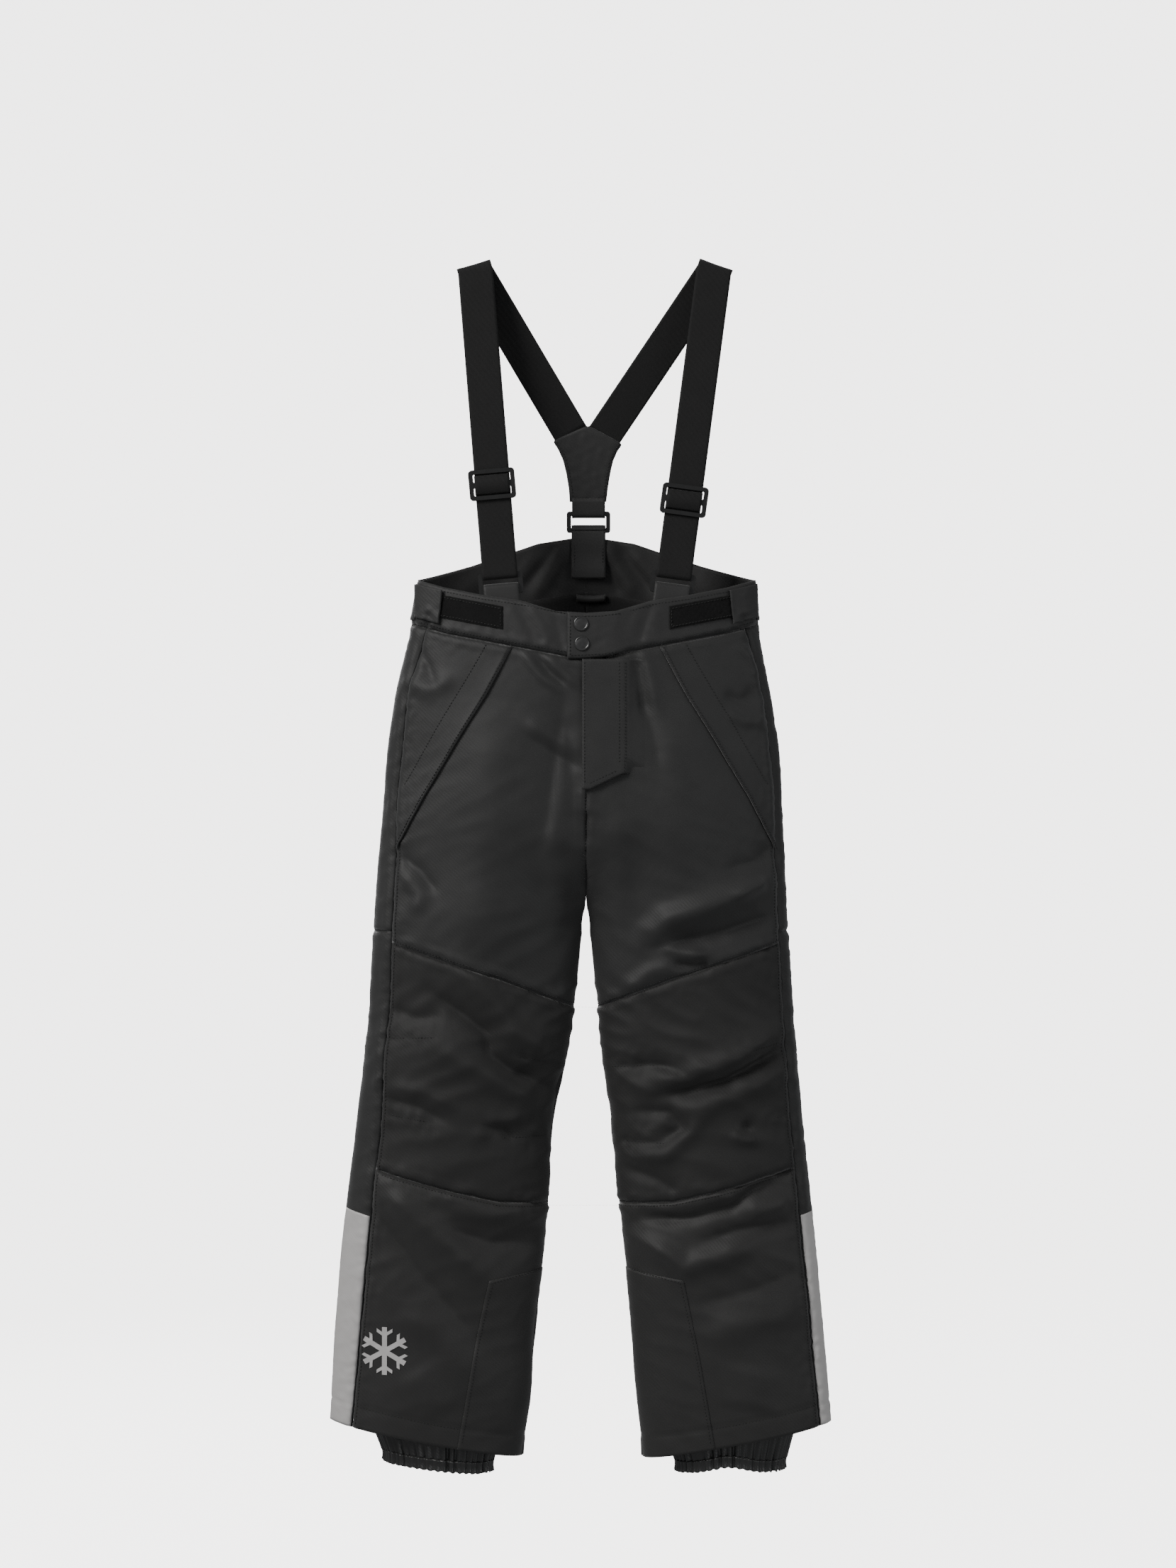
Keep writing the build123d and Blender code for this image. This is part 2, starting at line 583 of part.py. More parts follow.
# ---- yoke, rear ring and rear tab ----
with BuildPart() as suspender_yoke:
    with BuildSketch(rear_plane.offset(-1.2)):
        with BuildLine():
            Line((2, -167), (-34, -182))
            ThreePointArc((-34, -182), (-21, -210), (-16.5, -243))
            Line((-16.5, -243), (20.5, -243))
            ThreePointArc((20.5, -243), (24.5, -211), (37, -185))
            Line((37, -185), (2, -167))
        make_face()
    extrude(amount=2.4)
    for side in SIDES:
        add(shoulder_straps[side], mode=Mode.SUBTRACT)
    ring_x, ring_z = REAR_RING
    bar_up = ring_z * rear_len + RING_REACH
    hairpin(rear_plane, ring_x, 34, bar_up, BAR_CLEAR, 1.6, 16, 16)
    with BuildSketch(rear_plane.offset(-BAR_CLEAR - 1.6)):
        with Locations((ring_x, bar_up + 14)):
            Rectangle(34, 4)
    extrude(amount=2 * (BAR_CLEAR + 1.6))
save(suspender_yoke, "suspender_yoke")

with BuildPart() as rear_ring:
    ring_on(rear_plane, ring_x, ring_z * rear_len)
save(rear_ring, "rear_ring")

low_bar = Vector(ring_x, REAR_TOP_Y - REAR_SLOPE * (ring_z - RING_REACH), ring_z - RING_REACH)
tab_plane = Plane(origin=low_bar, x_dir=(1, 0, 0), z_dir=(0, -1, 0))
with BuildPart() as rear_tab_base:
    hairpin(tab_plane, 0, TAB_WIDE, 0, TAB_CLEAR, TAB_THICK, 0.2, 40, below=False)
    for neighbour in (high_back.part, back_facing.part):
        add(neighbour, mode=Mode.SUBTRACT)
    keep_inside([(-60, -200), (60, -200), (60, -400), (-60, -400)])
save(rear_tab_base, "rear_tab_base")

with BuildPart() as rear_tab:
    with BuildSketch(tab_plane.offset(TAB_CLEAR)):
        with Locations((0, -TAB_TALL / 2 - 0.6)):
            Rectangle(TAB_WIDE, TAB_TALL)
    extrude(amount=TAB_THICK)
save(rear_tab, "rear_tab")
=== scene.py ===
from math import atan2, cos, pi, radians, sin

import bmesh
import bpy
import numpy as np
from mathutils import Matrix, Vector


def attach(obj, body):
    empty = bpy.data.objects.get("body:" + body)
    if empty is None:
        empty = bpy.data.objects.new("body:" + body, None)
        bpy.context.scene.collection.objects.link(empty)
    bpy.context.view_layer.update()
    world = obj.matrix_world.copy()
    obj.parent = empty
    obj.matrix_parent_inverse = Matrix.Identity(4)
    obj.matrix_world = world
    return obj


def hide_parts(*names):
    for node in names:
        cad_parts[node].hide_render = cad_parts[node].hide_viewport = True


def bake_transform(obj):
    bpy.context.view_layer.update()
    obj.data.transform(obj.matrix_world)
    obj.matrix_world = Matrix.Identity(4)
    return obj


# Children's ski trousers with elastic braces, hanging by their shoulder straps.
# Lengths are millimetres until a mesh is made, which turns them into metres. +X is the wearer's left.

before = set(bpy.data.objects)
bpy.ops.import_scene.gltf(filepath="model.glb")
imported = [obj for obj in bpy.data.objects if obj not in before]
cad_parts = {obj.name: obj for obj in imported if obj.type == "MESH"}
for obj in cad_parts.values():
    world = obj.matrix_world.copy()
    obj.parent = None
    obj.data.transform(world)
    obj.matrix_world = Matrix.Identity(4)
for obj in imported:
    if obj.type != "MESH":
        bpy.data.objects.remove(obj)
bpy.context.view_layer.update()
MM = 0.001
SIDES = {-1: "right", 1: "left"}


# ======== the surface of the trousers ========
# Height, outer edge right and left, inner edge of a leg right and left, front and back depth, leg share.
STATIONS = np.array([
    (-262, 170, 172, 0, 0, 43.0, 43, 0),
    (-326, 171, 173, 0, 0, 46.8, 47, 0),
    (-375, 178, 175, 0, 0, 50.0, 51, 0),
    (-440, 194, 187, 0, 0, 54.2, 58, 0),
    (-500, 203, 197, 0, 0, 58.1, 62, 0),
    (-545, 206, 199, 0, 0, 61.0, 63, 0),
    (-572, 208, 200, 0, 0, 60.6, 63, 0.02),
    (-600, 211, 202, 0, 0, 60.0, 63, 0.11),
    (-625, 213, 203, 0, 0, 59.0, 62, 0.34),
    (-652, 215, 204, 0, 0, 57.0, 59, 0.62),
    (-668, 216, 205, 5, 4, 56.0, 58, 0.72),
    (-700, 218, 207, 8, 9, 54.0, 55, 0.84),
    (-775, 222, 212, 15, 15, 51.0, 50, 0.93),
    (-880, 234, 221, 36.5, 28, 50.0, 46, 0.93),
    (-1000, 249, 234, 46, 41, 46.0, 44, 0.93),
    (-1100, 257, 243, 58, 53, 44.0, 43, 0.93),
    (-1240, 264, 255, 73, 65, 42.0, 42, 0.93),
])
SECTION_STEP = 4.0
SECTION_Z = np.arange(-1260.0, -240.0, SECTION_STEP)
SMOOTH_OVER = 9.0      # how far the corners between stations are rounded
WALL = 0.07            # share of the turn that closes each leg on the inside
CROTCH_TOP, CROTCH_LOW = -600, -656      # the legs part below the first and touch down to the second
CLOSING = 42           # height over which the inside of a leg closes

# Seams as (distance from the middle, height), for either side.
BACK_TOP = [(0, -279), (50, -287), (119, -311), (173, -327)]
BAND_TOP = [(0, -363), (30, -361), (66, -350), (105, -344), (143, -336), (173, -327)]
WAIST_SEAM = [(0, -409), (18, -407), (74, -396), (140, -383), (175, -373), (320, -373)]
SIDE_SEAM = [(158, -366), (162, -376.7), (181, -446), (192, -541), (193, -600), (197, -696), (207, -860),
             (217, -970), (237.5, -1186), (242, -1250)]
KNEE_TOP = [(0, -766), (15, -760), (87, -732), (145, -713), (197, -696)]
KNEE_BOTTOM = [(0, -961), (20, -961), (87, -957), (154, -941), (210, -925)]
HEM = [(0, -1228), (40, -1224), (62, -1220), (237.5, -1186), (258, -1182), (300, -1174)]
POCKET_EDGE = [(73, -394), (100, -445), (128, -490), (162, -546), (192, -602)]
SIDE_BREAK = -684
BACK_KNEE = -805
BACK_WAIST = -373


def smoothed(values):
    """Running weighted mean that keeps the ends."""
    reach = int(3 * SMOOTH_OVER / SECTION_STEP)
    weights = np.exp(-0.5 * (np.arange(-reach, reach + 1) * SECTION_STEP / SMOOTH_OVER) ** 2)
    return np.convolve(np.pad(values, reach, mode="edge"), weights / weights.sum(), mode="valid")


SECTIONS = [smoothed(np.interp(SECTION_Z, STATIONS[::-1, 0], STATIONS[::-1, k])) for k in range(1, 8)]


def clipped(value):
    """The value, kept from 0 to 1."""
    return np.clip(value, 0, 1)


def bell(away, wide):
    """1 at no distance, falling smoothly to nothing beyond the width."""
    return np.exp(-(away / wide) ** 2)


def eased(share):
    """A share from 0 to 1 with a soft start and end."""
    share = clipped(share)
    return share * share * (3 - 2 * share)


def run(points, at):
    """Second coordinate of a polyline where its first is at."""
    xs, ys = zip(*sorted(points))
    return np.interp(at, xs, ys)


def run_x(points, z):
    """First coordinate of a polyline where its second is z."""
    return run([(q, p) for p, q in points], z)


def level(value):
    """An edge that lies at the same height or turn everywhere."""
    return lambda at: np.full(np.shape(at), float(value))


def along_line(points, by=0.0):
    """An edge along a seam, raised by an amount."""
    return lambda x: run(points, x) + by


def closed_wall(z):
    """Share of the turn that closes the inside of a leg at a height."""
    return WALL * clipped((CROTCH_TOP - z) / CLOSING)


def section(side, turn, z):
    """Points of one half: turn is 0 at the front middle, 0.5 at the outside and 1 at the back middle."""
    right, left, inner_right, inner_left, front, back, share = [np.interp(z, SECTION_Z, k) for k in SECTIONS]
    outer, inner = (right, inner_right) if side < 0 else (left, inner_left)
    round_turn = clipped(turn)
    wall = 1 - clipped(np.maximum(-turn, turn - 1) / WALL)
    depth = np.where(round_turn < 0.5, front, back)
    hip_x = outer * np.sin(pi * round_turn)
    leg_x = (outer + inner) / 2 - (outer - inner) / 2 * np.cos(2 * pi * round_turn)
    x = (1 - share) * hip_x + share * leg_x
    y = -depth * wall * ((1 - share) * np.cos(pi * round_turn) + share * np.sin(2 * pi * round_turn))
    return np.stack([side * x, y, np.broadcast_to(z, x.shape)], -1)


def outward(side, turn, z):
    """Unit normals of the plain tube."""
    wall = closed_wall(z)
    low, high = np.clip(turn - 0.004, -wall, 1 + wall), np.clip(turn + 0.004, -wall, 1 + wall)
    round_step = section(side, high, z) - section(side, low, z)
    up_step = section(side, turn, z + 2.0) - section(side, turn, z - 2.0)
    normal = side * np.cross(round_step, up_step)
    return normal / np.maximum(np.linalg.norm(normal, axis=-1, keepdims=True), 1e-9)


def turn_at(side, x, z, back=False):
    """Turn at which one half is x from the middle, on the front or the back."""
    x, z = np.broadcast_arrays(np.asarray(x, float), np.asarray(z, float))
    low, high = np.zeros(x.shape), np.full(x.shape, 0.5)
    for _ in range(24):
        middle = (low + high) / 2
        inside = side * section(side, middle, z)[..., 0] < x
        low, high = np.where(inside, middle, low), np.where(inside, high, middle)
    return 1 - low if back else low


# ======== folds, puckers and seam grooves ========
rng = np.random.default_rng(7)


def make_waves(count, shortest, longest, lean=None):
    """Random plane waves that add up to soft uneven cloth. Lean keeps them near one direction, in degrees."""
    length = rng.uniform(shortest, longest, count)
    angle = rng.uniform(0, pi, count) if lean is None else radians(lean) + rng.normal(0, 0.35, count)
    return np.cos(angle) * 2 * pi / length, np.sin(angle) * 2 * pi / length, rng.uniform(0, 2 * pi, count)


def waves(kind, x, z):
    """Sum of the waves, about -1 to 1."""
    along, up, phase = kind
    total = np.zeros(np.broadcast(x, z).shape)
    for a, u, p in zip(along, up, phase):
        total += np.sin(a * x + u * z + p)
    return total / np.sqrt(len(along) * 2)


BROAD = make_waves(14, 90, 190)
CRUMPLE = make_waves(22, 26, 70, lean=65)
PUCKER = make_waves(40, 7, 15)
FINE = make_waves(40, 5, 11)


def distance(x, z, points):
    """Distance to a polyline, and how far along it the nearest point lies, from 0 to 1."""
    points = [np.array(p, float) for p in points]
    lengths = [np.linalg.norm(b - a) for a, b in zip(points, points[1:])]
    best = np.full(np.broadcast(x, z).shape, 1e9)
    place = np.zeros(best.shape)
    done = 0.0
    for a, b, length in zip(points, points[1:], lengths):
        share = np.clip(((x - a[0]) * (b[0] - a[0]) + (z - a[1]) * (b[1] - a[1])) / length ** 2, 0, 1)
        away = np.hypot(x - a[0] - share * (b[0] - a[0]), z - a[1] - share * (b[1] - a[1]))
        place = np.where(away < best, (done + share * length) / sum(lengths), place)
        best = np.minimum(away, best)
        done += length
    return best, place


# Front folds as the viewer sees them: height (valleys are negative), half width, and points as (x, z).
FRONT_FOLDS = [
    # right leg, on the viewer's left: the S-shaped fold above the knee
    (-5.5, 10, [(-158, -744), (-120, -770), (-100, -786), (-97, -806), (-78, -823), (-32, -844)]),
    (4.5, 13, [(-128, -716), (-97, -752), (-72, -785), (-28, -812)]),
    (3.0, 12, [(-150, -800), (-110, -822), (-66, -846), (-40, -868)]),
    (-2.5, 9, [(-200, -762), (-170, -772), (-140, -768)]),
    # right leg: creases at the darts
    (-2.6, 6, [(-203, -852), (-172, -860), (-140, -876)]),
    (2.2, 8, [(-198, -842), (-160, -846), (-128, -864)]),
    (-3.4, 6, [(-108, -880), (-84, -884), (-70, -894)]),
    (2.0, 7, [(-112, -893), (-92, -874), (-62, -872)]),
    # right leg: the diagonal ridges below the knee
    (5.0, 15, [(-208, -934), (-168, -974), (-132, -1006), (-100, -1036)]),
    (-3.4, 13, [(-212, -968), (-170, -1026), (-112, -1092)]),
    (3.2, 11, [(-150, -954), (-100, -968), (-46, -974)]),
    (-2.8, 10, [(-140, -984), (-96, -998), (-48, -1000)]),
    (2.2, 16, [(-190, -1066), (-150, -1086), (-112, -1140)]),
    # right thigh: soft ridge down the middle, drags from the snaps and at the side
    (3.5, 34, [(-86, -450), (-96, -540), (-98, -640), (-92, -720)]),
    (-2.8, 12, [(-22, -446), (-34, -520), (-44, -610)]),
    (2.0, 9, [(-62, -470), (-36, -488), (-6, -504)]),
    (-1.8, 7, [(-60, -486), (-34, -503), (-6, -520)]),
    (-2.2, 8, [(-190, -606), (-168, -622), (-150, -646)]),
    (1.8, 8, [(-186, -622), (-168, -646), (-170, -668)]),
    (2.0, 9, [(-184, -428), (-160, -440), (-132, -428)]),
    # left leg, on the viewer's right: the strong fold above the knee
    (6.0, 13, [(60, -690), (84, -672), (128, -656), (184, -630)]),
    (-5.0, 10, [(66, -700), (96, -694), (140, -684), (188, -668)]),
    (4.0, 8, [(74, -694), (98, -706), (122, -708)]),
    (-4.2, 6, [(86, -716), (112, -718), (126, -712)]),
    (2.6, 8, [(36, -746), (66, -724), (96, -716)]),
    (2.4, 8, [(182, -636), (162, -642), (146, -652)]),
    # left leg: the deep crease across the knee
    (-6.5, 8, [(72, -850), (112, -842), (142, -833), (204, -800)]),
    (4.4, 11, [(60, -838), (110, -826), (150, -812), (196, -786)]),
    (3.6, 11, [(84, -864), (128, -856), (170, -838), (204, -822)]),
    (-4.2, 9, [(44, -816), (80, -820), (108, -830)]),
    (3.2, 9, [(122, -862), (106, -884), (80, -908), (42, -912)]),
    (-4.4, 9, [(46, -866), (84, -866), (96, -882), (70, -898)]),
    (-2.6, 6, [(158, -878), (168, -884)]),
    (2.4, 6, [(146, -886), (156, -892), (172, -894)]),
    (-2.4, 9, [(40, -924), (70, -934), (96, -950)]),
    # left leg: the crease below the knee with its bright facets
    (-5.4, 8, [(50, -976), (106, -973), (146, -962), (168, -946), (208, -928)]),
    (4.6, 12, [(54, -994), (84, -1010), (100, -1022), (130, -1012), (170, -1000)]),
    (-3.6, 9, [(118, -996), (158, -984), (206, -978)]),
    (3.2, 10, [(160, -968), (206, -958)]),
    (-2.4, 14, [(112, -1060), (160, -1048), (212, -1030)]),
    (2.2, 14, [(118, -1092), (166, -1078), (214, -1064)]),
    # left thigh
    (3.5, 36, [(92, -450), (96, -540), (92, -620), (76, -680)]),
    (-2.2, 10, [(58, -440), (66, -480), (74, -520)]),
    (-2.0, 8, [(176, -440), (156, -452), (138, -444)]),
    (2.0, 8, [(182, -472), (160, -470), (140, -462)]),
    (-2.0, 9, [(192, -596), (172, -614), (140, -622)]),
    # the crotch
    (-3.0, 10, [(1, -560), (0, -600)]),
    (2.6, 12, [(-34, -570), (-30, -620), (-28, -680)]),
    (2.6, 14, [(34, -560), (32, -620), (32, -680)]),
    (-2.0, 8, [(-18, -470), (-14, -540), (-16, -600)]),
    # drags below the waist seam
    (2.2, 5, [(-64, -402), (-44, -428), (-26, -440)]),
    (-2.0, 4, [(-52, -404), (-36, -424), (-18, -436)]),
    (1.8, 5, [(-40, -408), (-24, -424), (-8, -438)]),
    (2.0, 6, [(58, -404), (66, -430), (72, -462)]),
    (-1.8, 5, [(50, -406), (54, -432), (58, -468)]),
    (1.6, 6, [(150, -392), (168, -410), (176, -432)]),
    (-1.6, 5, [(-172, -392), (-160, -414), (-150, -440)]),
    # calm wide swells near the hems
    (2.0, 26, [(-170, -1120), (-140, -1170)]),
    (2.0, 26, [(170, -1120), (160, -1168)]),
]

# Folds of the waistband and of the facing inside the high back, the latter for either side.
BAND_FOLDS = [
    (1.5, 5, [(-58, -355), (-44, -378), (-33, -402)]),
    (-1.6, 5, [(-33, -364), (-27, -384), (-23, -404)]),
    (0.9, 6, [(-80, -355), (-70, -372), (-60, -392)]),
    (-0.9, 6, [(-72, -352), (-60, -370), (-50, -396)]),
    (1.6, 5, [(52, -362), (46, -380), (41, -397)]),
    (-1.5, 5, [(66, -352), (60, -370), (54, -390)]),
    (-0.9, 3, [(5, -397), (12, -393), (19, -389)]),
    (0.9, 7, [(76, -352), (70, -372), (68, -394)]),
    (-0.7, 6, [(-150, -345), (-152, -362), (-148, -380)]),
]
FACING_FOLDS = [
    (3.0, 7, [(19, -283), (34, -312), (54, -344)]),
    (-2.6, 8, [(30, -286), (50, -312), (70, -340)]),
    (2.2, 7, [(44, -292), (66, -318), (92, -344)]),
    (-1.8, 8, [(20, -305), (30, -328), (34, -342)]),
    (1.6, 9, [(80, -300), (110, -325), (140, -348)]),
]

# Back folds for either leg, as (distance from the middle, height).
BACK_FOLDS = [
    (-4.5, 12, [(12, -640), (70, -664), (140, -650)]),
    (4.0, 13, [(16, -618), (80, -640), (150, -622)]),
    (-4.0, 11, [(28, -862), (90, -872), (168, -850)]),
    (3.5, 13, [(34, -838), (96, -846), (176, -824)]),
    (3.0, 14, [(40, -890), (110, -900), (180, -880)]),
    (-3.0, 12, [(60, -960), (120, -990), (190, -970)]),
    (3.0, 14, [(60, -1010), (120, -1030), (196, -1004)]),
    (-2.5, 15, [(80, -420), (100, -520), (90, -600)]),
    (3.0, 30, [(120, -440), (120, -560), (110, -680)]),
    (-2.2, 12, [(80, -1080), (140, -1100), (210, -1070)]),
    (-5.0, 12, [(0, -600), (0, -640)]),
]

FRONT_SEAMS = [WAIST_SEAM[:5], SIDE_SEAM, KNEE_TOP, KNEE_BOTTOM, [(0, -545), (0, -640)]]
BACK_SEAMS = [[(0, BACK_WAIST), (170, BACK_WAIST)], SIDE_SEAM, [(0, BACK_KNEE), (215, BACK_KNEE)],
              [(0, BACK_WAIST), (0, -620)]]
SIDE_BREAK_SEAM = [(150, SIDE_BREAK), (300, SIDE_BREAK)]
DARTS = {
    -1: [[(-206, -792), (-149, -790)], [(-68, -810), (-25, -819)], [(-198, -869), (-156, -876)],
         [(-83, -892), (-37, -892)]],
    1: [[(166, -804), (201, -796)], [(27, -821), (76, -819)], [(192, -872), (204, -868)],
        [(39, -896), (79, -898)]],
}
SEAM_DEEP, SEAM_WIDE = 2.0, 2.6
DART_DEEP, DART_WIDE = 1.2, 2.2
ALLOWANCE_TALL, ALLOWANCE_AT, ALLOWANCE_WIDE = 0.7, 6.5, 3.4     # the doubled cloth beside a seam
HEM_UP, HEM_DEEP, HEM_WIDE = 22, 0.8, 2.2      # the stitched line above the hem
PUCKER_TALL, PUCKER_REACH = 0.85, 11.0
BROAD_TALL, CRUMPLE_TALL, FINE_TALL = 2.0, 1.9, 0.10
BUSY_Z, BUSY_REACH = -860, 190                 # the cloth crumples most at the knees
CALM_Z, CALM_REACH = -430, 120                 # and least at the waist
BACK_SHIFT = 400       # so the back doesn't repeat the swells of the front
FLANK = 0.14           # share of the turn beside the flank where folds fade out
SMOOTH_Z, SMOOTH_TALL, SMOOTH_WIDE = -606, 16, 42      # hardly any relief where the legs part
CREASE = 1.6           # how blunt the bottom of a valley is
FOLD_SCALE = 1.85


def fold_sum(x, z, folds):
    """Round ridges and sharper valleys along the given lines."""
    total = np.zeros(np.broadcast(x, z).shape)
    for tall, wide, points in folds:
        away, place = distance(x, z, points)
        taper = clipped(np.minimum(place, 1 - place) * 5) * 0.75 + 0.25
        if tall > 0:
            total += tall * taper * bell(away, wide)
        else:
            total += tall * taper * np.exp(-(np.sqrt(away ** 2 + CREASE ** 2) - CREASE) * 1.25 / wide)
    return total


def relief(side, turn, z):
    """How far the cloth stands off the plain tube."""
    x = section(side, turn, z)[..., 0]
    out = np.abs(x)
    front = turn < 0.5
    face = eased(np.abs(turn - 0.5) / FLANK)
    swell = BROAD_TALL * waves(BROAD, x + BACK_SHIFT * (turn > 0.5), z) * face
    folds = np.where(front, fold_sum(x, z, FRONT_FOLDS), fold_sum(out, z, BACK_FOLDS)) * face * FOLD_SCALE
    near_front = np.min([distance(out, z, s)[0] for s in FRONT_SEAMS], axis=0)
    near_back = np.min([distance(out, z, s)[0] for s in BACK_SEAMS], axis=0)
    near = np.where(front, near_front, near_back)
    near = np.minimum(near, distance(out, z, SIDE_BREAK_SEAM)[0] + 40 * (face > 0.75))
    darts = np.min([distance(x, z, d)[0] for d in DARTS[side]], axis=0) + 60 * (~front)
    groove = -SEAM_DEEP * bell(near, SEAM_WIDE) - DART_DEEP * bell(darts, DART_WIDE)
    allowance = ALLOWANCE_TALL * bell(near - ALLOWANCE_AT, ALLOWANCE_WIDE)
    gather = PUCKER_TALL * waves(PUCKER, x, z) * np.exp(-np.minimum(near, darts * 0.8) / PUCKER_REACH)
    busy = 0.30 + 0.70 * bell(z - BUSY_Z, BUSY_REACH)
    crumple = CRUMPLE_TALL * (0.55 - np.abs(waves(CRUMPLE, x * side, z))) * busy * (0.3 + 0.7 * face)
    calm = 0.35 + 0.65 * clipped((CALM_Z - z) / CALM_REACH)
    hem = HEM_DEEP * bell(z - run(HEM, out) - HEM_UP, HEM_WIDE)
    fine = FINE_TALL * waves(FINE, x, z)
    inside_leg = clipped(1 - np.maximum(-turn, turn - 1) / 0.025)
    parting = np.exp(-((z - SMOOTH_Z) / SMOOTH_TALL) ** 2 - (x / SMOOTH_WIDE) ** 2)
    inside_leg = inside_leg * (1 - 0.8 * parting)
    return ((swell + crumple) * calm + folds + groove + allowance + gather - hem + fine) * inside_leg


def cloth_at(side, turn, z, lift=0.0):
    """Points on the cloth, with folds, plus a lift along the normal."""
    turn, z = np.broadcast_arrays(np.asarray(turn, float), np.asarray(z, float))
    height = relief(side, turn, z) + lift
    points = section(side, turn, z) + outward(side, turn, z) * height[..., None]
    joined = clipped((z - CROTCH_LOW) / 8) * clipped(1 - np.minimum(turn, 1 - turn) / 0.02)
    points[..., 0] *= 1 - joined
    return points


def front_at(x, z, lift=0.0, back=False):
    """Points on the cloth under flat (x, z) places, whichever half they are on."""
    x, z = np.broadcast_arrays(np.asarray(x, float), np.asarray(z, float))
    places = [cloth_at(side, turn_at(side, np.abs(x), z, back), z, lift) for side in SIDES]
    return np.where((x < 0)[..., None], places[0], places[1])


# ======== meshes ========
def new_object(name, data):
    """Object in the scene that shows some data."""
    obj = bpy.data.objects.new(name, data)
    bpy.context.scene.collection.objects.link(obj)
    return obj


def make_object(name, verts, faces, material, smooth=True):
    """Mesh object from millimetre points."""
    mesh = bpy.data.meshes.new(name)
    mesh.from_pydata([tuple(MM * c for c in v) for v in np.asarray(verts, float)], [], faces)
    mesh.materials.append(material)
    mesh.polygons.foreach_set("use_smooth", [smooth] * len(mesh.polygons))
    return new_object(name, mesh)


def tidy_mesh(obj, merge=0.00004):
    """Joins doubled points and drops edges of no length."""
    bm = bmesh.new()
    bm.from_mesh(obj.data)
    bmesh.ops.remove_doubles(bm, verts=bm.verts, dist=merge)
    bmesh.ops.dissolve_degenerate(bm, edges=bm.edges, dist=merge / 4)
    bm.to_mesh(obj.data)
    bm.free()
    return obj


def grid_faces(rows, columns, start=0, close=False):
    """Four-sided faces between rows of points."""
    faces = []
    for r in range(rows - 1):
        for c in range(columns if close else columns - 1):
            d = (c + 1) % columns
            faces.append((start + r * columns + c, start + (r + 1) * columns + c,
                          start + (r + 1) * columns + d, start + r * columns + d))
    return faces


def thicken(obj, thick, offset=-1.0):
    """Gives a sheet its thickness, inwards when offset is -1."""
    mod = obj.modifiers.new("thickness", "SOLIDIFY")
    mod.thickness = thick * MM
    mod.offset = offset
    mod.use_even_offset = False
    return obj


def apply_all(obj):
    """Applies every modifier of an object."""
    bpy.context.view_layer.update()
    evaluated = obj.evaluated_get(bpy.context.evaluated_depsgraph_get())
    mesh = bpy.data.meshes.new_from_object(evaluated)
    obj.modifiers.clear()
    obj.data = mesh
    return obj


def join(name, parts):
    """One object from several with applied modifiers."""
    bm = bmesh.new()
    materials = []
    for part in parts:
        apply_all(part)
        faces_before = len(bm.faces)
        bm.from_mesh(part.data)
        slots = list(part.data.materials)
        bm.faces.ensure_lookup_table()
        for face in bm.faces[faces_before:]:
            material = slots[face.material_index]
            if material not in materials:
                materials.append(material)
            face.material_index = materials.index(material)
        bpy.data.objects.remove(part)
    mesh = bpy.data.meshes.new(name)
    bm.to_mesh(mesh)
    bm.free()
    for material in materials:
        mesh.materials.append(material)
    return new_object(name, mesh)


GIRTH = 520            # about once round one leg


def patch_grid(side, top, bottom, left, right, step=3.2):
    """Turns and heights of a grid between four edges: top and bottom are z(x), left and right are turn(z)."""
    high, low = float(top(60.0)), float(bottom(60.0))
    middle = np.array([-0.5 * (abs(high) + abs(low))])
    wide = abs(float((right(middle) - left(middle))[0])) * GIRTH
    tall = abs(high - low)
    columns, rows = max(5, int(wide / step)), max(5, int(tall / step))
    u, v = np.meshgrid(np.linspace(0, 1, columns), np.linspace(0, 1, rows))
    z = np.full(u.shape, middle[0])
    for _ in range(7):
        turn = left(z) + (right(z) - left(z)) * u
        out = np.abs(section(side, turn, z)[..., 0])
        z = top(out) + (bottom(out) - top(out)) * v
    return turn, z


def patch(name, side, top, bottom, left, right, material, thick, lift=0.0, step=3.2, rise=None):
    """One cut piece of cloth laid on the surface."""
    turn, z = patch_grid(side, top, bottom, left, right, step)
    extra = lift + (rise(side, turn, z) if rise else 0.0)
    points = cloth_at(side, turn, z, extra)
    faces = grid_faces(*turn.shape)
    if side < 0:
        faces = [f[::-1] for f in faces]
    return thicken(tidy_mesh(make_object(name, points.reshape(-1, 3), faces, material)), thick)


# ======== materials ========
def new_material(name, **values):
    """Material with its node tree and its shader, with some of the shader's inputs set."""
    material = bpy.data.materials.new(name)
    material.use_nodes = True
    shader = material.node_tree.nodes["Principled BSDF"]
    for socket, value in values.items():
        shader.inputs[socket.replace("_", " ")].default_value = value
    return material, material.node_tree, shader


def add_node(tree, kind, values, operation=None):
    """Shader node with its inputs set to numbers or linked from other nodes' outputs."""
    node = tree.nodes.new("ShaderNode" + kind)
    if operation:
        node.operation = operation
    for socket, value in values.items():
        if isinstance(value, bpy.types.NodeSocket):
            tree.links.new(value, node.inputs[socket])
        else:
            node.inputs[socket].default_value = value
    return node


def add_ramp(tree, source, colour, shares, places=(0.0, 1.0)):
    """Colour that runs from one share of itself to another."""
    ramp = add_node(tree, "ValToRGB", {"Fac": source})
    for k in (0, 1):
        ramp.color_ramp.elements[k].position = places[k]
        ramp.color_ramp.elements[k].color = (*[c * shares[k] for c in colour], 1)
    return ramp.outputs["Color"]


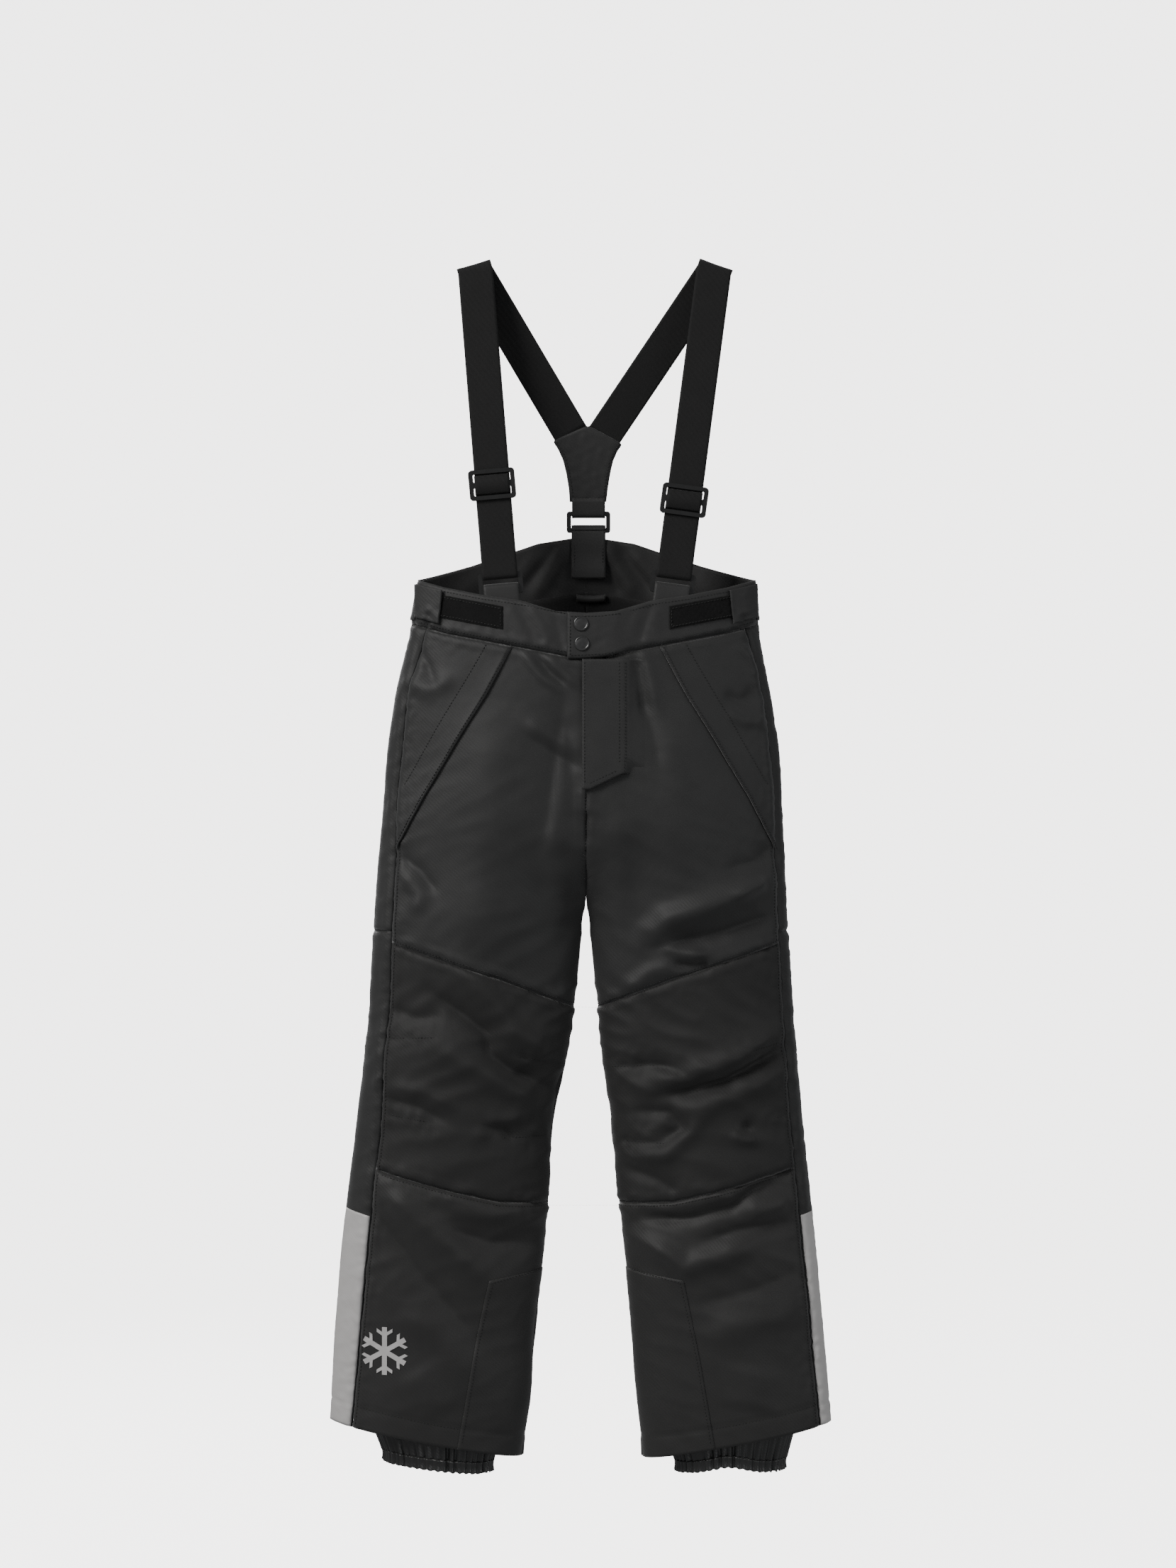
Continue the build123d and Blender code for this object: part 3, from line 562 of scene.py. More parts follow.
def cloth_material(name, colour, rough, weave, mottle=0.18, sheen=0.25, bump=0.25, slant=45.0, spec=0.35):
    """Woven cloth: fine diagonal weave in the bump, uneven dye and a soft sheen. Weave is the pitch in mm."""
    material, tree, shader = new_material(name, Roughness=rough, Sheen_Weight=sheen, Sheen_Roughness=0.45,
                                          Specular_IOR_Level=spec)
    place = tree.nodes.new("ShaderNodeTexCoord").outputs["Object"]
    slanted = add_node(tree, "Mapping", {"Rotation": (0.0, radians(slant), 0.0), "Vector": place})
    yarn = add_node(tree, "TexWave", {"Scale": 314.0 / weave / 3.14, "Distortion": 1.2, "Detail": 1.0,
                                      "Vector": slanted.outputs["Vector"]}).outputs["Fac"]
    cloud = add_node(tree, "TexNoise", {"Scale": 38.0, "Detail": 6.0, "Roughness": 0.6, "Vector": place})
    speck = add_node(tree, "TexNoise", {"Scale": 1500.0, "Detail": 2.0, "Vector": place}).outputs["Fac"]
    mix = add_node(tree, "Mix", {"Factor": 0.45, "A": cloud.outputs["Fac"], "B": speck})
    dye = add_ramp(tree, mix.outputs["Result"], colour, (1 - mottle, 1 + mottle), (0.30, 0.72))
    height = add_node(tree, "Math", {0: yarn, 1: 0.6, 2: speck}, "MULTIPLY_ADD")
    threads = add_node(tree, "Bump", {"Strength": bump, "Distance": 0.0004,
                                      "Height": height.outputs["Value"]})
    tree.links.new(dye, shader.inputs["Base Color"])
    tree.links.new(threads.outputs["Normal"], shader.inputs["Normal"])
    return material


def hard_material(name, colour, rough, metallic=0.0, coat=0.0):
    """Moulded plastic or painted metal with faint grain and uneven gloss."""
    material, tree, shader = new_material(name, Metallic=metallic, Coat_Weight=coat, Coat_Roughness=0.12)
    place = tree.nodes.new("ShaderNodeTexCoord").outputs["Object"]
    cloud = add_node(tree, "TexNoise", {"Scale": 300.0, "Detail": 5.0, "Vector": place}).outputs["Fac"]
    gloss = add_node(tree, "MapRange", {"To Min": rough * 0.8, "To Max": rough * 1.25, "Value": cloud})
    grain = add_node(tree, "Bump", {"Strength": 0.05, "Distance": 0.0003, "Height": cloud})
    tree.links.new(gloss.outputs["Result"], shader.inputs["Roughness"])
    tree.links.new(add_ramp(tree, cloud, colour, (0.8, 1.2)), shader.inputs["Base Color"])
    tree.links.new(grain.outputs["Normal"], shader.inputs["Normal"])
    return material


def grey(value, warm=0.0):
    """Near-neutral colour, a little to the warm side."""
    return (value * (1 + warm), value, value * (1 - warm * 0.6))


SHELL = cloth_material("shell_cloth", grey(0.0215), 0.60, 0.9, sheen=0.20)
KNEE = cloth_material("knee_cloth", grey(0.0165, 0.02), 0.66, 0.9, sheen=0.16)
SHIN = cloth_material("shin_cloth", grey(0.0215, 0.02), 0.60, 0.9, sheen=0.20)
FACING = cloth_material("facing_cloth", grey(0.0170), 0.62, 0.9, sheen=0.10)
FLEECE = cloth_material("lining_fleece", grey(0.0085), 0.95, 2.6, mottle=0.35, sheen=0.3, bump=0.8)
WEBBING = cloth_material("elastic_webbing", grey(0.0062), 0.80, 1.5, mottle=0.30, sheen=0.07, bump=0.8,
                         slant=38)
THREAD = cloth_material("stitch_thread", grey(0.0150), 0.55, 0.4, sheen=0.1)
SILVER = cloth_material("reflective_film", grey(0.50, 0.025), 0.42, 0.7, mottle=0.05, sheen=0.0, bump=0.12,
                        spec=0.6)
PILE = cloth_material("loop_pile", grey(0.0045), 1.0, 1.4, mottle=0.6, sheen=0.05, bump=1.0)
HOOK = cloth_material("hook_tape", grey(0.0080), 0.55, 1.6, mottle=0.4, sheen=0.0, bump=1.0, slant=0)
SATIN = cloth_material("gaiter_cloth", grey(0.0150), 0.34, 0.7, sheen=0.1, spec=0.6)
PLASTIC = hard_material("buckle_plastic", grey(0.0105), 0.26, coat=0.25)
SNAP = hard_material("snap_metal", grey(0.065), 0.30, metallic=0.75, coat=0.4)
ZIP_METAL = hard_material("zip_metal", grey(0.035), 0.34, metallic=0.8)
ZIP_NYLON = hard_material("zip_coil", grey(0.012), 0.40)


def show_node(name, material):
    """Gives a kept CAD solid its material."""
    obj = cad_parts[name]
    obj.data.materials.clear()
    obj.data.materials.append(material)


def finish_piece(obj, body, slot, *nodes):
    """Sends a piece with its body and lets it stand for its CAD nodes."""
    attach(obj, body)
    if nodes:
        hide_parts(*nodes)
    return obj


def bend_piece(obj, body, slot, start, end, *nodes):
    """Applies a piece's modifiers, bakes its placement into its mesh, and hides its CAD nodes."""
    if nodes:
        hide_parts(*nodes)
    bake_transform(apply_all(obj))


# ======== the sloping plane of the fly and the waist closure ========
FLY_TOP = -409.0
FLY_BOW = 0.10         # soft unevenness of the placket
FLY_SLOPE = (61.0 - 46.8) / (545 - 326)        # from the front depths at two heights
FLY_DEPTH = 46.8 + FLY_SLOPE * (-326 - FLY_TOP)
SLOPE_LEN = (1 + FLY_SLOPE ** 2) ** 0.5
FLY_UP = np.array([0, FLY_SLOPE, 1.0]) / SLOPE_LEN
FLY_OUT = np.array([0, -1.0, FLY_SLOPE]) / SLOPE_LEN
SNAPS = [(-5, -374), (-4, -394)]


def fly_point(x, v, n):
    """Point on the fly plane: x across, v up from the waist seam, n in front."""
    x, v, n = np.broadcast_arrays(np.asarray(x, float), np.asarray(v, float), np.asarray(n, float))
    foot = np.stack([x, 0 * x - FLY_DEPTH, 0 * x + FLY_TOP], -1)
    return foot + v[..., None] * FLY_UP + n[..., None] * FLY_OUT


# ======== stitches ========
PITCH, STITCH, THREAD_R, THREAD_SIDES = 3.4, 2.5, 0.42, 5
LINE_STEP = 2.5        # distance between the points of a line that follows the cloth


def way_along(points):
    """Distance from the start of a line to each of its points."""
    return np.concatenate([[0], np.cumsum(np.linalg.norm(np.diff(points, axis=0), axis=1))])


def stitch_row(verts, faces, points, normals):
    """Adds one bead of thread per stitch along a line on the cloth."""
    points, normals = np.asarray(points), np.asarray(normals)
    along = way_along(points)
    n = THREAD_SIDES
    for k in range(int(along[-1] / PITCH)):
        start = k * PITCH + (PITCH - STITCH) / 2
        stations = [start, start + STITCH * 0.25, start + STITCH * 0.75, start + STITCH]
        spots = np.stack([np.interp(stations, along, points[:, i]) for i in range(3)], 1)
        normal = np.array([np.interp(start, along, normals[:, i]) for i in range(3)])
        forward = spots[-1] - spots[0]
        forward /= np.linalg.norm(forward) + 1e-9
        across = np.cross(forward, normal)
        first = len(verts)
        for spot, lift, share in zip(spots, (-0.30, 0.12, 0.12, -0.30), (0.25, 1.0, 1.0, 0.25)):
            for turn in range(n):
                a = 2 * pi * turn / n
                up = normal * (lift + THREAD_R * share * sin(a))
                verts.append(spot + up + across * THREAD_R * share * cos(a))
        for ring in range(first, first + 3 * n, n):
            for turn in range(n):
                nxt = (turn + 1) % n
                faces.append((ring + turn, ring + nxt, ring + n + nxt, ring + n + turn))
        faces.append(tuple(first + t for t in reversed(range(n))))
        faces.append(tuple(first + 3 * n + t for t in range(n)))


def dense(points):
    """More points along a polyline."""
    points = np.asarray(points, float)
    along = way_along(points)
    at = np.linspace(0, along[-1], max(2, int(along[-1] / LINE_STEP) + 1))
    return np.stack([np.interp(at, along, points[:, i]) for i in range(points.shape[1])], 1)


def seam_stitches(name, rows):
    """Stitch rows drawn as (x, z) lines on the front, or the back when marked so."""
    verts, faces = [], []
    for line, lift, back in rows:
        line = dense(line)
        points = front_at(line[:, 0], line[:, 1], lift, back)
        above = front_at(line[:, 0], line[:, 1], lift + 1.0, back)
        stitch_row(verts, faces, points, above - points)
    finish_piece(make_object(name, verts, faces, THREAD), "garment", "shell_cloth")


# ======== the shell panels ========
def front_middle(z):
    """Turn of a panel's front middle edge, which closes the leg on the inside below the crotch."""
    return -closed_wall(z)


def back_middle(z):
    """Turn of a panel's back middle edge."""
    return 1 + closed_wall(z)


def seam_turns(side):
    """Turns of the side seam by height, read off once: on the front, and on the back."""
    heights = np.arange(-1252.0, -330.0, 6.0)
    turns = turn_at(side, run_x(SIDE_SEAM, heights), heights)
    return lambda z: np.interp(z, heights, turns), lambda z: 1 - np.interp(z, heights, turns)


SEAM_TURNS = {side: seam_turns(side) for side in SIDES}


def open_slot(obj, low_x, high_x, low_z, high_z):
    """Cuts an upright opening into the front of a sheet."""
    bm = bmesh.new()
    bm.from_mesh(obj.data)
    sideways, upwards = Vector((1, 0, 0)), Vector((0, 0, 1))
    for place, way in ((low_x, sideways), (high_x, sideways), (low_z, upwards), (high_z, upwards)):
        whole = bm.verts[:] + bm.edges[:] + bm.faces[:]
        bmesh.ops.bisect_plane(bm, geom=whole, dist=1e-6, plane_co=way * place * MM, plane_no=way)
    inside = []
    for face in bm.faces:
        middle = face.calc_center_median() / MM
        if low_x < middle.x < high_x and low_z < middle.z < high_z:
            inside.append(face)
    bmesh.ops.delete(bm, geom=inside, context="FACES")
    bm.to_mesh(obj.data)
    bm.free()


ZIP_SLOT = (7.5, 20.5, -530.5, -400)    # opening over the zip, behind the placket
SHELL_THICK = 2.2


def shell_panel(name, side, top, bottom, left, right, material):
    """One padded panel of the shell, standing for the CAD panel of the same name."""
    obj = patch(f"{name}_cloth_{SIDES[side]}", side, top, bottom, left, right, material, SHELL_THICK)
    if name == "front_thigh" and side > 0:
        open_slot(obj, *ZIP_SLOT)
    finish_piece(obj, "garment", "shell_cloth", f"{name}_{SIDES[side]}")


waist, hem, knee_top, knee_bottom = [along_line(line) for line in (WAIST_SEAM, HEM, KNEE_TOP, KNEE_BOTTOM)]
side_break, back_knee, back_waist = level(SIDE_BREAK), level(BACK_KNEE), level(BACK_WAIST)
for side in SIDES:
    seam, back_seam = SEAM_TURNS[side]
    shell_panel("front_thigh", side, waist, knee_top, front_middle, seam, SHELL)
    shell_panel("knee_panel", side, knee_top, knee_bottom, front_middle, seam, KNEE)
    shell_panel("shin_panel", side, knee_bottom, hem, front_middle, seam, SHIN)
    shell_panel("side_panel_upper", side, waist, side_break, seam, back_seam, SHELL)
    shell_panel("side_panel_lower", side, side_break, hem, seam, back_seam, SHELL)
    shell_panel("seat_panel", side, back_waist, back_knee, back_seam, back_middle, SHELL)
    shell_panel("back_leg_panel", side, back_knee, hem, back_seam, back_middle, SHELL)


# ======== waistband, high back and facing ========
BAND_THICK, BAND_ROLL = 2.4, 0.9


def rolled(side, turn, z):
    """Rounds the band over its upper and lower folded edges."""
    x = section(side, turn, z)[..., 0]
    near = np.minimum(run(BAND_TOP, np.abs(x)) - z, z - run(WAIST_SEAM, np.abs(x)))
    return -BAND_ROLL * bell(near, 1.6) + 0.5 + fold_sum(x, z, BAND_FOLDS)


band_top = along_line(BAND_TOP)
band_right = patch("waistband_right", -1, band_top, waist, level(0), level(0.5), SHELL, BAND_THICK, step=2.6,
                   rise=rolled)
underlap = patch("waistband_underlap", 1, band_top, waist, level(0), level(turn_at(1, 28.0, -385.0)), SHELL,
                 BAND_THICK, step=2.6, lift=-0.4)
band_right = join("waistband_right_cloth", [band_right, underlap])
finish_piece(band_right, "garment", "shell_cloth", "waistband_right")


FLAP_END, FLAP_TALL = -19.0, 46        # how far the flap reaches past the middle, and its height
OVER_FLY, LEAVES_BY = 27, 22           # the band leaves the fly plane here, over this width
BAND_ROWS = 22


def left_band_grid():
    """The left front band and the flap at its end: one cloth, lying over the right band's end."""
    xs = np.concatenate([np.arange(FLAP_END, 60.0, 2.0), np.arange(60.0, 150.0, 2.6)])
    turns = np.linspace(float(turn_at(1, 150.0, -350.0)), 0.5, 16)
    verts = []
    for v in np.linspace(0, 1, BAND_ROWS):
        z = np.array([run(BAND_TOP, abs(x)) * (1 - v) + run(WAIST_SEAM, max(x, 0)) * v for x in xs])
        z_side = -338.0 * (1 - v) - 379.0 * v
        for _ in range(4):
            out = section(1, turns, np.broadcast_to(z_side, turns.shape))[..., 0]
            z_side = run(BAND_TOP, out) * (1 - v) + run(WAIST_SEAM, out) * v
        place = np.concatenate([turn_at(1, np.maximum(xs, 0), z), turns])
        z, flat_x = np.concatenate([z, z_side]), np.concatenate([xs, np.full(len(turns), 200.0)])
        edge = np.minimum(np.minimum(flat_x - FLAP_END, 50), FLAP_TALL * min(v, 1 - v))
        rim = -BAND_ROLL * np.exp(-edge / 1.3)
        folds = np.where(flat_x < 199, fold_sum(flat_x, z, BAND_FOLDS), 0)
        lying = cloth_at(1, place, z, 0.5 + rim + folds)
        lift = 2.7 + rim + 0.6 * folds + 0.12 * waves(PUCKER, flat_x, z)
        over = fly_point(flat_x, (z - FLY_TOP) * SLOPE_LEN, lift)
        share = eased((flat_x - OVER_FLY) / LEAVES_BY)[:, None]
        verts.append(over * (1 - share) + lying * share)
    return verts[0].shape[0], np.concatenate(verts)


def back_top(x):
    """Height of the high back's upper edge."""
    return run(BACK_TOP, np.minimum(x, 173))


def facing_low(x):
    """Height of the facing's lower edge."""
    return run([(0, -341), (66, -352), (130, -366), (173, -373)], np.minimum(x, 173))


def whole_back(name, top, bottom, lift, material, thick, edge_turn=0.5, rise=None):
    """Right and left back halves as one piece."""
    halves = [patch(f"{name}_{side}", side, top, bottom, level(edge_turn), level(1), material, thick,
                    lift=lift, step=3.0, rise=rise) for side in SIDES]
    return tidy_mesh(join(name, halves), 0.0002)


high_back = whole_back("high_back_cloth", back_top, back_waist, 0.0, SHELL, SHELL_THICK)
finish_piece(high_back, "garment", "shell_cloth", "high_back")


def facing_folds(side, turn, z):
    """Folds that run out from the rear tab, raised towards the inside."""
    return -fold_sum(np.abs(section(side, turn, z)[..., 0]), z, FACING_FOLDS)


facing = whole_back("back_facing_cloth", lambda x: back_top(x) - 0.6, facing_low, -3.4, FACING, 1.4,
                    edge_turn=0.515, rise=facing_folds)
finish_piece(facing, "garment", "shell_cloth", "back_facing")

# Lining: fleece behind every panel, up to the waist seam in front and the facing behind.
LINING_LIFT = -4.6
lining_low = along_line(HEM, 18)


def lining_top_back(x):
    """Height of the lining's upper edge behind."""
    return facing_low(x) + 5


for side, word in SIDES.items():
    halves = [patch(f"lining_{part}_{word}", side, top, lining_low, left, right, FLEECE, 1.4,
                    lift=LINING_LIFT, step=6)
              for part, top, left, right in (("front", along_line(WAIST_SEAM, 4), front_middle, level(0.5)),
                                             ("back", lining_top_back, level(0.5), back_middle))]
    lining = tidy_mesh(join(f"leg_lining_cloth_{word}", halves), 0.0003)
    finish_piece(lining, "garment", "lining_fleece", f"leg_lining_{word}")

# Small loop of tape at the middle of the facing.
LOOP_LONG, LOOP_SAG, LOOP_RINGS, LOOP_SIDES = 30, 3.2, 17, 12
loop_verts = []
for k in range(LOOP_RINGS):
    x = -10 + LOOP_LONG * k / (LOOP_RINGS - 1)
    sag = LOOP_SAG * (1 - ((k - 8) / 8) ** 2)
    for turn in range(LOOP_SIDES):
        a = 2 * pi * turn / LOOP_SIDES
        loop_verts.append((x, 39.3 + 2.4 * cos(a), -343 - sag * 0.4 + 3.4 * sin(a)))
loop_ends = [tuple(range(LOOP_SIDES)),
             tuple(reversed(range((LOOP_RINGS - 1) * LOOP_SIDES, LOOP_RINGS * LOOP_SIDES)))]
hanger_loop = make_object("hanger_loop_cord", loop_verts,
                          grid_faces(LOOP_RINGS, LOOP_SIDES, close=True) + loop_ends, SHELL)
finish_piece(hanger_loop, "garment", "shell_cloth", "hanger_loop")


# ======== pieces sewn on top ========
def on_turns(side, line, back=False):
    """Turn along a line of (distance from the middle, height)."""
    return lambda z: turn_at(side, run_x(line, z), z, back)


def lip(side, turn, z):
    """The free edge of a pocket flap stands off the thigh."""
    away = np.abs(section(side, turn, z)[..., 0]) - run_x(POCKET_EDGE, z)
    return 1.6 * np.exp(-np.abs(away) / 9.0) * clipped((-396 - z) / 30)


KICK_EDGE = [(98, -1034), (115, -1118), (131, -1212)]
KICK_TOP = [(0, -1022), (20, -1024), (98, -1036), (140, -1042)]
STRIP_TOP, STRIP_EDGE = [(210, -975), (222, -971), (260, -962)], [(217.5, -960), (239, -1190)]
BAG_INNER, BAG_OUTER = [(70, -400), (66, -600)], [(150, -400), (160, -600)]
for side, word in SIDES.items():
    # Pocket flap.
    flap = patch(f"pocket_flap_cloth_{word}", side, along_line(WAIST_SEAM, -0.8), level(-600),
                 on_turns(side, POCKET_EDGE), lambda z, side=side: SEAM_TURNS[side][0](z) - 0.003, SHELL, 1.3,
                 lift=1.5, step=2.6, rise=lip)
    finish_piece(flap, "garment", "shell_cloth", f"pocket_flap_{word}")

    # Flat pocket bag behind the lining.
    bag = patch(f"pocket_bag_cloth_{word}", side, level(-420), level(-585), on_turns(side, BAG_INNER),
                on_turns(side, BAG_OUTER), FLEECE, 1.6, lift=-8.4, step=8)
    finish_piece(bag, "garment", "lining_fleece", "pocket_bags")

    # Kick patch round the inside of the hem.
    kick_top, kick_low = along_line(KICK_TOP), along_line(HEM, 0.4)
    halves = [patch(f"kick_front_{word}", side, kick_top, kick_low, level(-WALL), on_turns(side, KICK_EDGE),
                    SHIN, 1.0, lift=0.9, step=2.8),
              patch(f"kick_back_{word}", side, kick_top, kick_low, on_turns(side, KICK_EDGE, back=True),
                    level(1 + WALL), SHIN, 1.0, lift=0.9, step=2.8)]
    kick = tidy_mesh(join(f"kick_patch_cloth_{word}", halves), 0.0002)
    finish_piece(kick, "garment", "shell_cloth", "kick_patches")

    # Reflective strip down the outside of the shin.
    strip = patch(f"reflective_strip_film_{word}", side, along_line(STRIP_TOP), along_line(HEM, 0.6),
                  on_turns(side, STRIP_EDGE), level(0.475), SILVER, 0.5, lift=0.8, step=2.6)
    finish_piece(strip, "garment", "reflective_film", "reflective_strips")

# Six-armed snow crystal on the right shin.
EMBLEM = (-203.0, -1107.0)
ARM, ARM_WIDE, BRANCH_AT, BRANCH_LONG, BRANCH_WIDE = 24.0, 5.0, 15.5, 8.0, 3.6
flat, crystal_faces = [], [tuple(range(6))]
for k in range(6):
    flat.append((ARM_WIDE * cos(radians(60 * k)), ARM_WIDE * sin(radians(60 * k))))
for k in range(6):
    a = radians(60 * k + 30)
    out, across = np.array([cos(a), sin(a)]), np.array([-sin(a), cos(a)])
    first = len(flat)
    for r in (BRANCH_AT, BRANCH_AT + BRANCH_WIDE, ARM):
        for s in (-1, 1):
            flat.append(tuple(out * r + across * s * ARM_WIDE / 2))
    for r in (BRANCH_AT, BRANCH_AT + BRANCH_WIDE):
        for s in (-1, 1):
            flat.append(tuple(out * (r + 3.5) + across * s * BRANCH_LONG))
    low_r, low_l, mid_r, mid_l, end_r, end_l = range(first, first + 6)
    crystal_faces += [(k, low_r, low_l, (k + 1) % 6), (low_r, mid_r, mid_l, low_l),
                      (mid_r, end_r, end_l, mid_l), (low_r, first + 6, first + 8, mid_r),
                      (low_l, mid_l, first + 9, first + 7)]
crystal_bm = bmesh.new()
corners = [crystal_bm.verts.new((EMBLEM[0] + p, 0, EMBLEM[1] + q)) for p, q in flat]
for face in crystal_faces:
    crystal_bm.faces.new([corners[k] for k in face])
bmesh.ops.subdivide_edges(crystal_bm, edges=crystal_bm.edges, cuts=2, use_grid_fill=True)
bmesh.ops.triangulate(crystal_bm, faces=crystal_bm.faces)
spots = np.array([v.co[:] for v in crystal_bm.verts])
for vert, point in zip(crystal_bm.verts, front_at(spots[:, 0], spots[:, 2], 0.75)):
    vert.co = point * MM
crystal_mesh = bpy.data.meshes.new("leg_emblem_film")
crystal_bm.to_mesh(crystal_mesh)
crystal_bm.free()
crystal_mesh.materials.append(SILVER)
crystal = new_object("leg_emblem_film", crystal_mesh)
if sum(f.normal.y for f in crystal_mesh.polygons) > 0:
    crystal_mesh.flip_normals()
thicken(crystal, 0.4)
finish_piece(crystal, "garment", "reflective_film", "leg_emblem")


# ======== fly and waist closure ========
FLY_STEP = 4           # grid of the hidden pieces of the fly


def fly_sheet(name, left, right, top, bottom, middle, thick, material):
    """Cloth lying on the fly plane between two uprights and two heights."""
    columns, rows = max(4, int(abs(right - left) / FLY_STEP)), max(4, int(abs(top - bottom) / FLY_STEP))
    u, w = np.meshgrid(np.linspace(0, 1, columns), np.linspace(0, 1, rows))
    x = left + (right - left) * u
    v = top + (bottom - top) * w
    to_side = np.minimum(u * (right - left), (1 - u) * (right - left))
    edge = np.minimum(to_side, np.minimum(top - v, v - bottom))
    n = middle - 0.5 * np.exp(-edge / 1.2) + 0.25 * waves(PUCKER, x, v) * np.exp(-edge / 6)
    obj = make_object(name, fly_point(x, v, n).reshape(-1, 3), grid_faces(rows, columns), material)
    return thicken(obj, thick)


# The placket and the allowance beyond its hinge line, which slopes down into the thigh.
PLACKET_XS = np.arange(-4.0, 70.1, 2.0)
PLACKET_ROWS, PLACKET_OUT, PLACKET_TOP, PLACKET_LOW = 62, 4.0, -0.6, -132
placket_rows = []
for share in np.linspace(0, 1, PLACKET_ROWS):
    foot_v = PLACKET_LOW + 16 * clipped((PLACKET_XS - 4) / 33)
    v = PLACKET_TOP + (foot_v - PLACKET_TOP) * share
    edge = np.minimum(np.minimum(PLACKET_XS + 4, 60), np.minimum(PLACKET_TOP - v, v - foot_v))
    rim = -0.3 * np.exp(-edge / 1.2)
    pucker = 0.12 * waves(PUCKER, PLACKET_XS, v) * np.exp(-edge / 6)
    over = fly_point(PLACKET_XS, v, PLACKET_OUT + rim + pucker + FLY_BOW * waves(BROAD, 4 * PLACKET_XS, v))
    buried = np.maximum(clipped((PLACKET_XS - 42) / 26), clipped((-100 - v) / 14))
    lying = front_at(PLACKET_XS, FLY_TOP + v / SLOPE_LEN, 3.4 - 5.2 * buried)
    part = eased((PLACKET_XS - 36) / 12)[:, None]
    placket_rows.append(over * (1 - part) + lying * part)
placket = make_object("fly_placket_cloth", np.concatenate(placket_rows),
                      grid_faces(PLACKET_ROWS, len(PLACKET_XS)), SHELL)
PLACKET_BEND = fly_point(37.6, -60, 3.2) * MM, fly_point(30.0, -60, 3.2) * MM
bend_piece(thicken(placket, 1.1), "fly_placket", "shell_cloth", *PLACKET_BEND, "fly_placket")

band_columns, band_verts = left_band_grid()
band_left = make_object("waistband_left_cloth", band_verts, grid_faces(BAND_ROWS, band_columns), SHELL)
FLAP_BEND = fly_point(35.0, 20, 1.6) * MM, fly_point(28.0, 20, 1.6) * MM
bend_piece(thicken(band_left, 1.9), "waist_flap", "shell_cloth", *FLAP_BEND, "waistband_left", "waist_flap")


def turned(name, profile, segments, to_point, material):
    """Round piece from a profile of (radius, height)."""
    verts = []
    for radius, height in profile:
        for k in range(segments):
            a = 2 * pi * k / segments
            verts.append(to_point(radius * cos(a), radius * sin(a), height))
    faces = grid_faces(len(profile), segments, close=True)
    faces.append(tuple(range(segments)))
    faces.append(tuple(range(len(verts) - 1, len(verts) - segments - 1, -1)))
    return make_object(name, verts, [f[::-1] for f in faces], material)


CAP_PROFILE = [(6.6, 2.2), (7.5, 2.7), (7.5, 3.6), (7.1, 4.3), (6.3, 4.5), (5.8, 4.2), (5.5, 3.9), (5.1, 4.0),
               (4.0, 4.25), (2.4, 4.45), (0.8, 4.5)]
CAP_SIDES = 40


def snap_cap(name, x, z):
    """Domed cap of a press stud."""
    return turned(name, CAP_PROFILE, CAP_SIDES, lambda p, q, h: fly_point(x + p, z - FLY_TOP + q, h), SNAP)


caps = [snap_cap(f"cap_{k}", x, z) for k, (x, z) in enumerate(SNAPS)]
finish_piece(join("snap_cap_pair", caps), "waist_flap", "snap_metal", "snap_caps")
show_node("snap_studs", SNAP)

# Zip: woven tapes and two rows of coil loops.
ZIP_X, ZIP_LENGTH = 14.0, 118.0
TAPE_FROM, TAPE_TO = 1.9, 15.5
COIL_PITCH, COIL_HALF = 1.6, 0.62
COIL_LOOP = ((-2.4, -2.5), (-1.6, -1.75), (0.9, -1.7), (1.5, -2.1), (0.9, -2.55), (-1.6, -2.6))
tapes = []
for direction in (-1, 1):
    left, right = sorted((ZIP_X + direction * TAPE_FROM, ZIP_X + direction * TAPE_TO))
    tapes.append(fly_sheet(f"tape_{direction}", left, right, -3, -ZIP_LENGTH - 4, -2.7, 0.7, FACING))
finish_piece(join("zip_tape_pair", tapes), "garment", "zip_tape", "zip_tapes")
coil_verts, coil_faces = [], []
for k in range(int((ZIP_LENGTH - 4) / COIL_PITCH)):
    direction = 1 if k % 2 else -1
    first = len(coil_verts)
    for out, n in COIL_LOOP:
        for dv in (-COIL_HALF, COIL_HALF):
            coil_verts.append(fly_point(ZIP_X - direction * out, -4.8 - COIL_PITCH * k + dv, n))
    for p in range(6):
        q = (p + 1) % 6
        face = (first + 2 * p, first + 2 * q, first + 2 * q + 1, first + 2 * p + 1)
        coil_faces.append(face if direction > 0 else face[::-1])
    ends = tuple(first + 2 * p for p in range(6)), tuple(first + 2 * p + 1 for p in range(6))
    coil_faces += [ends[0][::-1], ends[1]] if direction > 0 else [ends[0], ends[1][::-1]]
coil = make_object("zip_coil_teeth", coil_verts, coil_faces, ZIP_NYLON, smooth=False)
finish_piece(coil, "garment", "zip_coil", "zip_coil")
for node in ("zip_slider", "zip_pull"):
    show_node(node, ZIP_METAL)
under = fly_sheet("fly_underlap_cloth", -12, 40, -4, -135, -5.3, 1.0, SHELL)
finish_piece(under, "garment", "shell_cloth", "fly_underlap")


# ======== waist adjusters ========
def sloped(inner, outer):
    """Height running straight between two points given as (distance from the middle, height)."""
    return lambda x: inner[1] + (outer[1] - inner[1]) * (x - inner[0]) / (outer[0] - inner[0])


def upright(side, low_x, high_x):
    """Turn of an edge that leans from one distance at the top to another at the bottom."""
    return lambda z: turn_at(side, low_x + (high_x - low_x) * clipped((-335 - z) / 40), z)


def tab_curl(side, turn, z):
    """The free end of the tab lifts a little."""
    x = np.abs(section(side, turn, z)[..., 0])
    return 1.3 * clipped((154 - x) / 9) ** 2


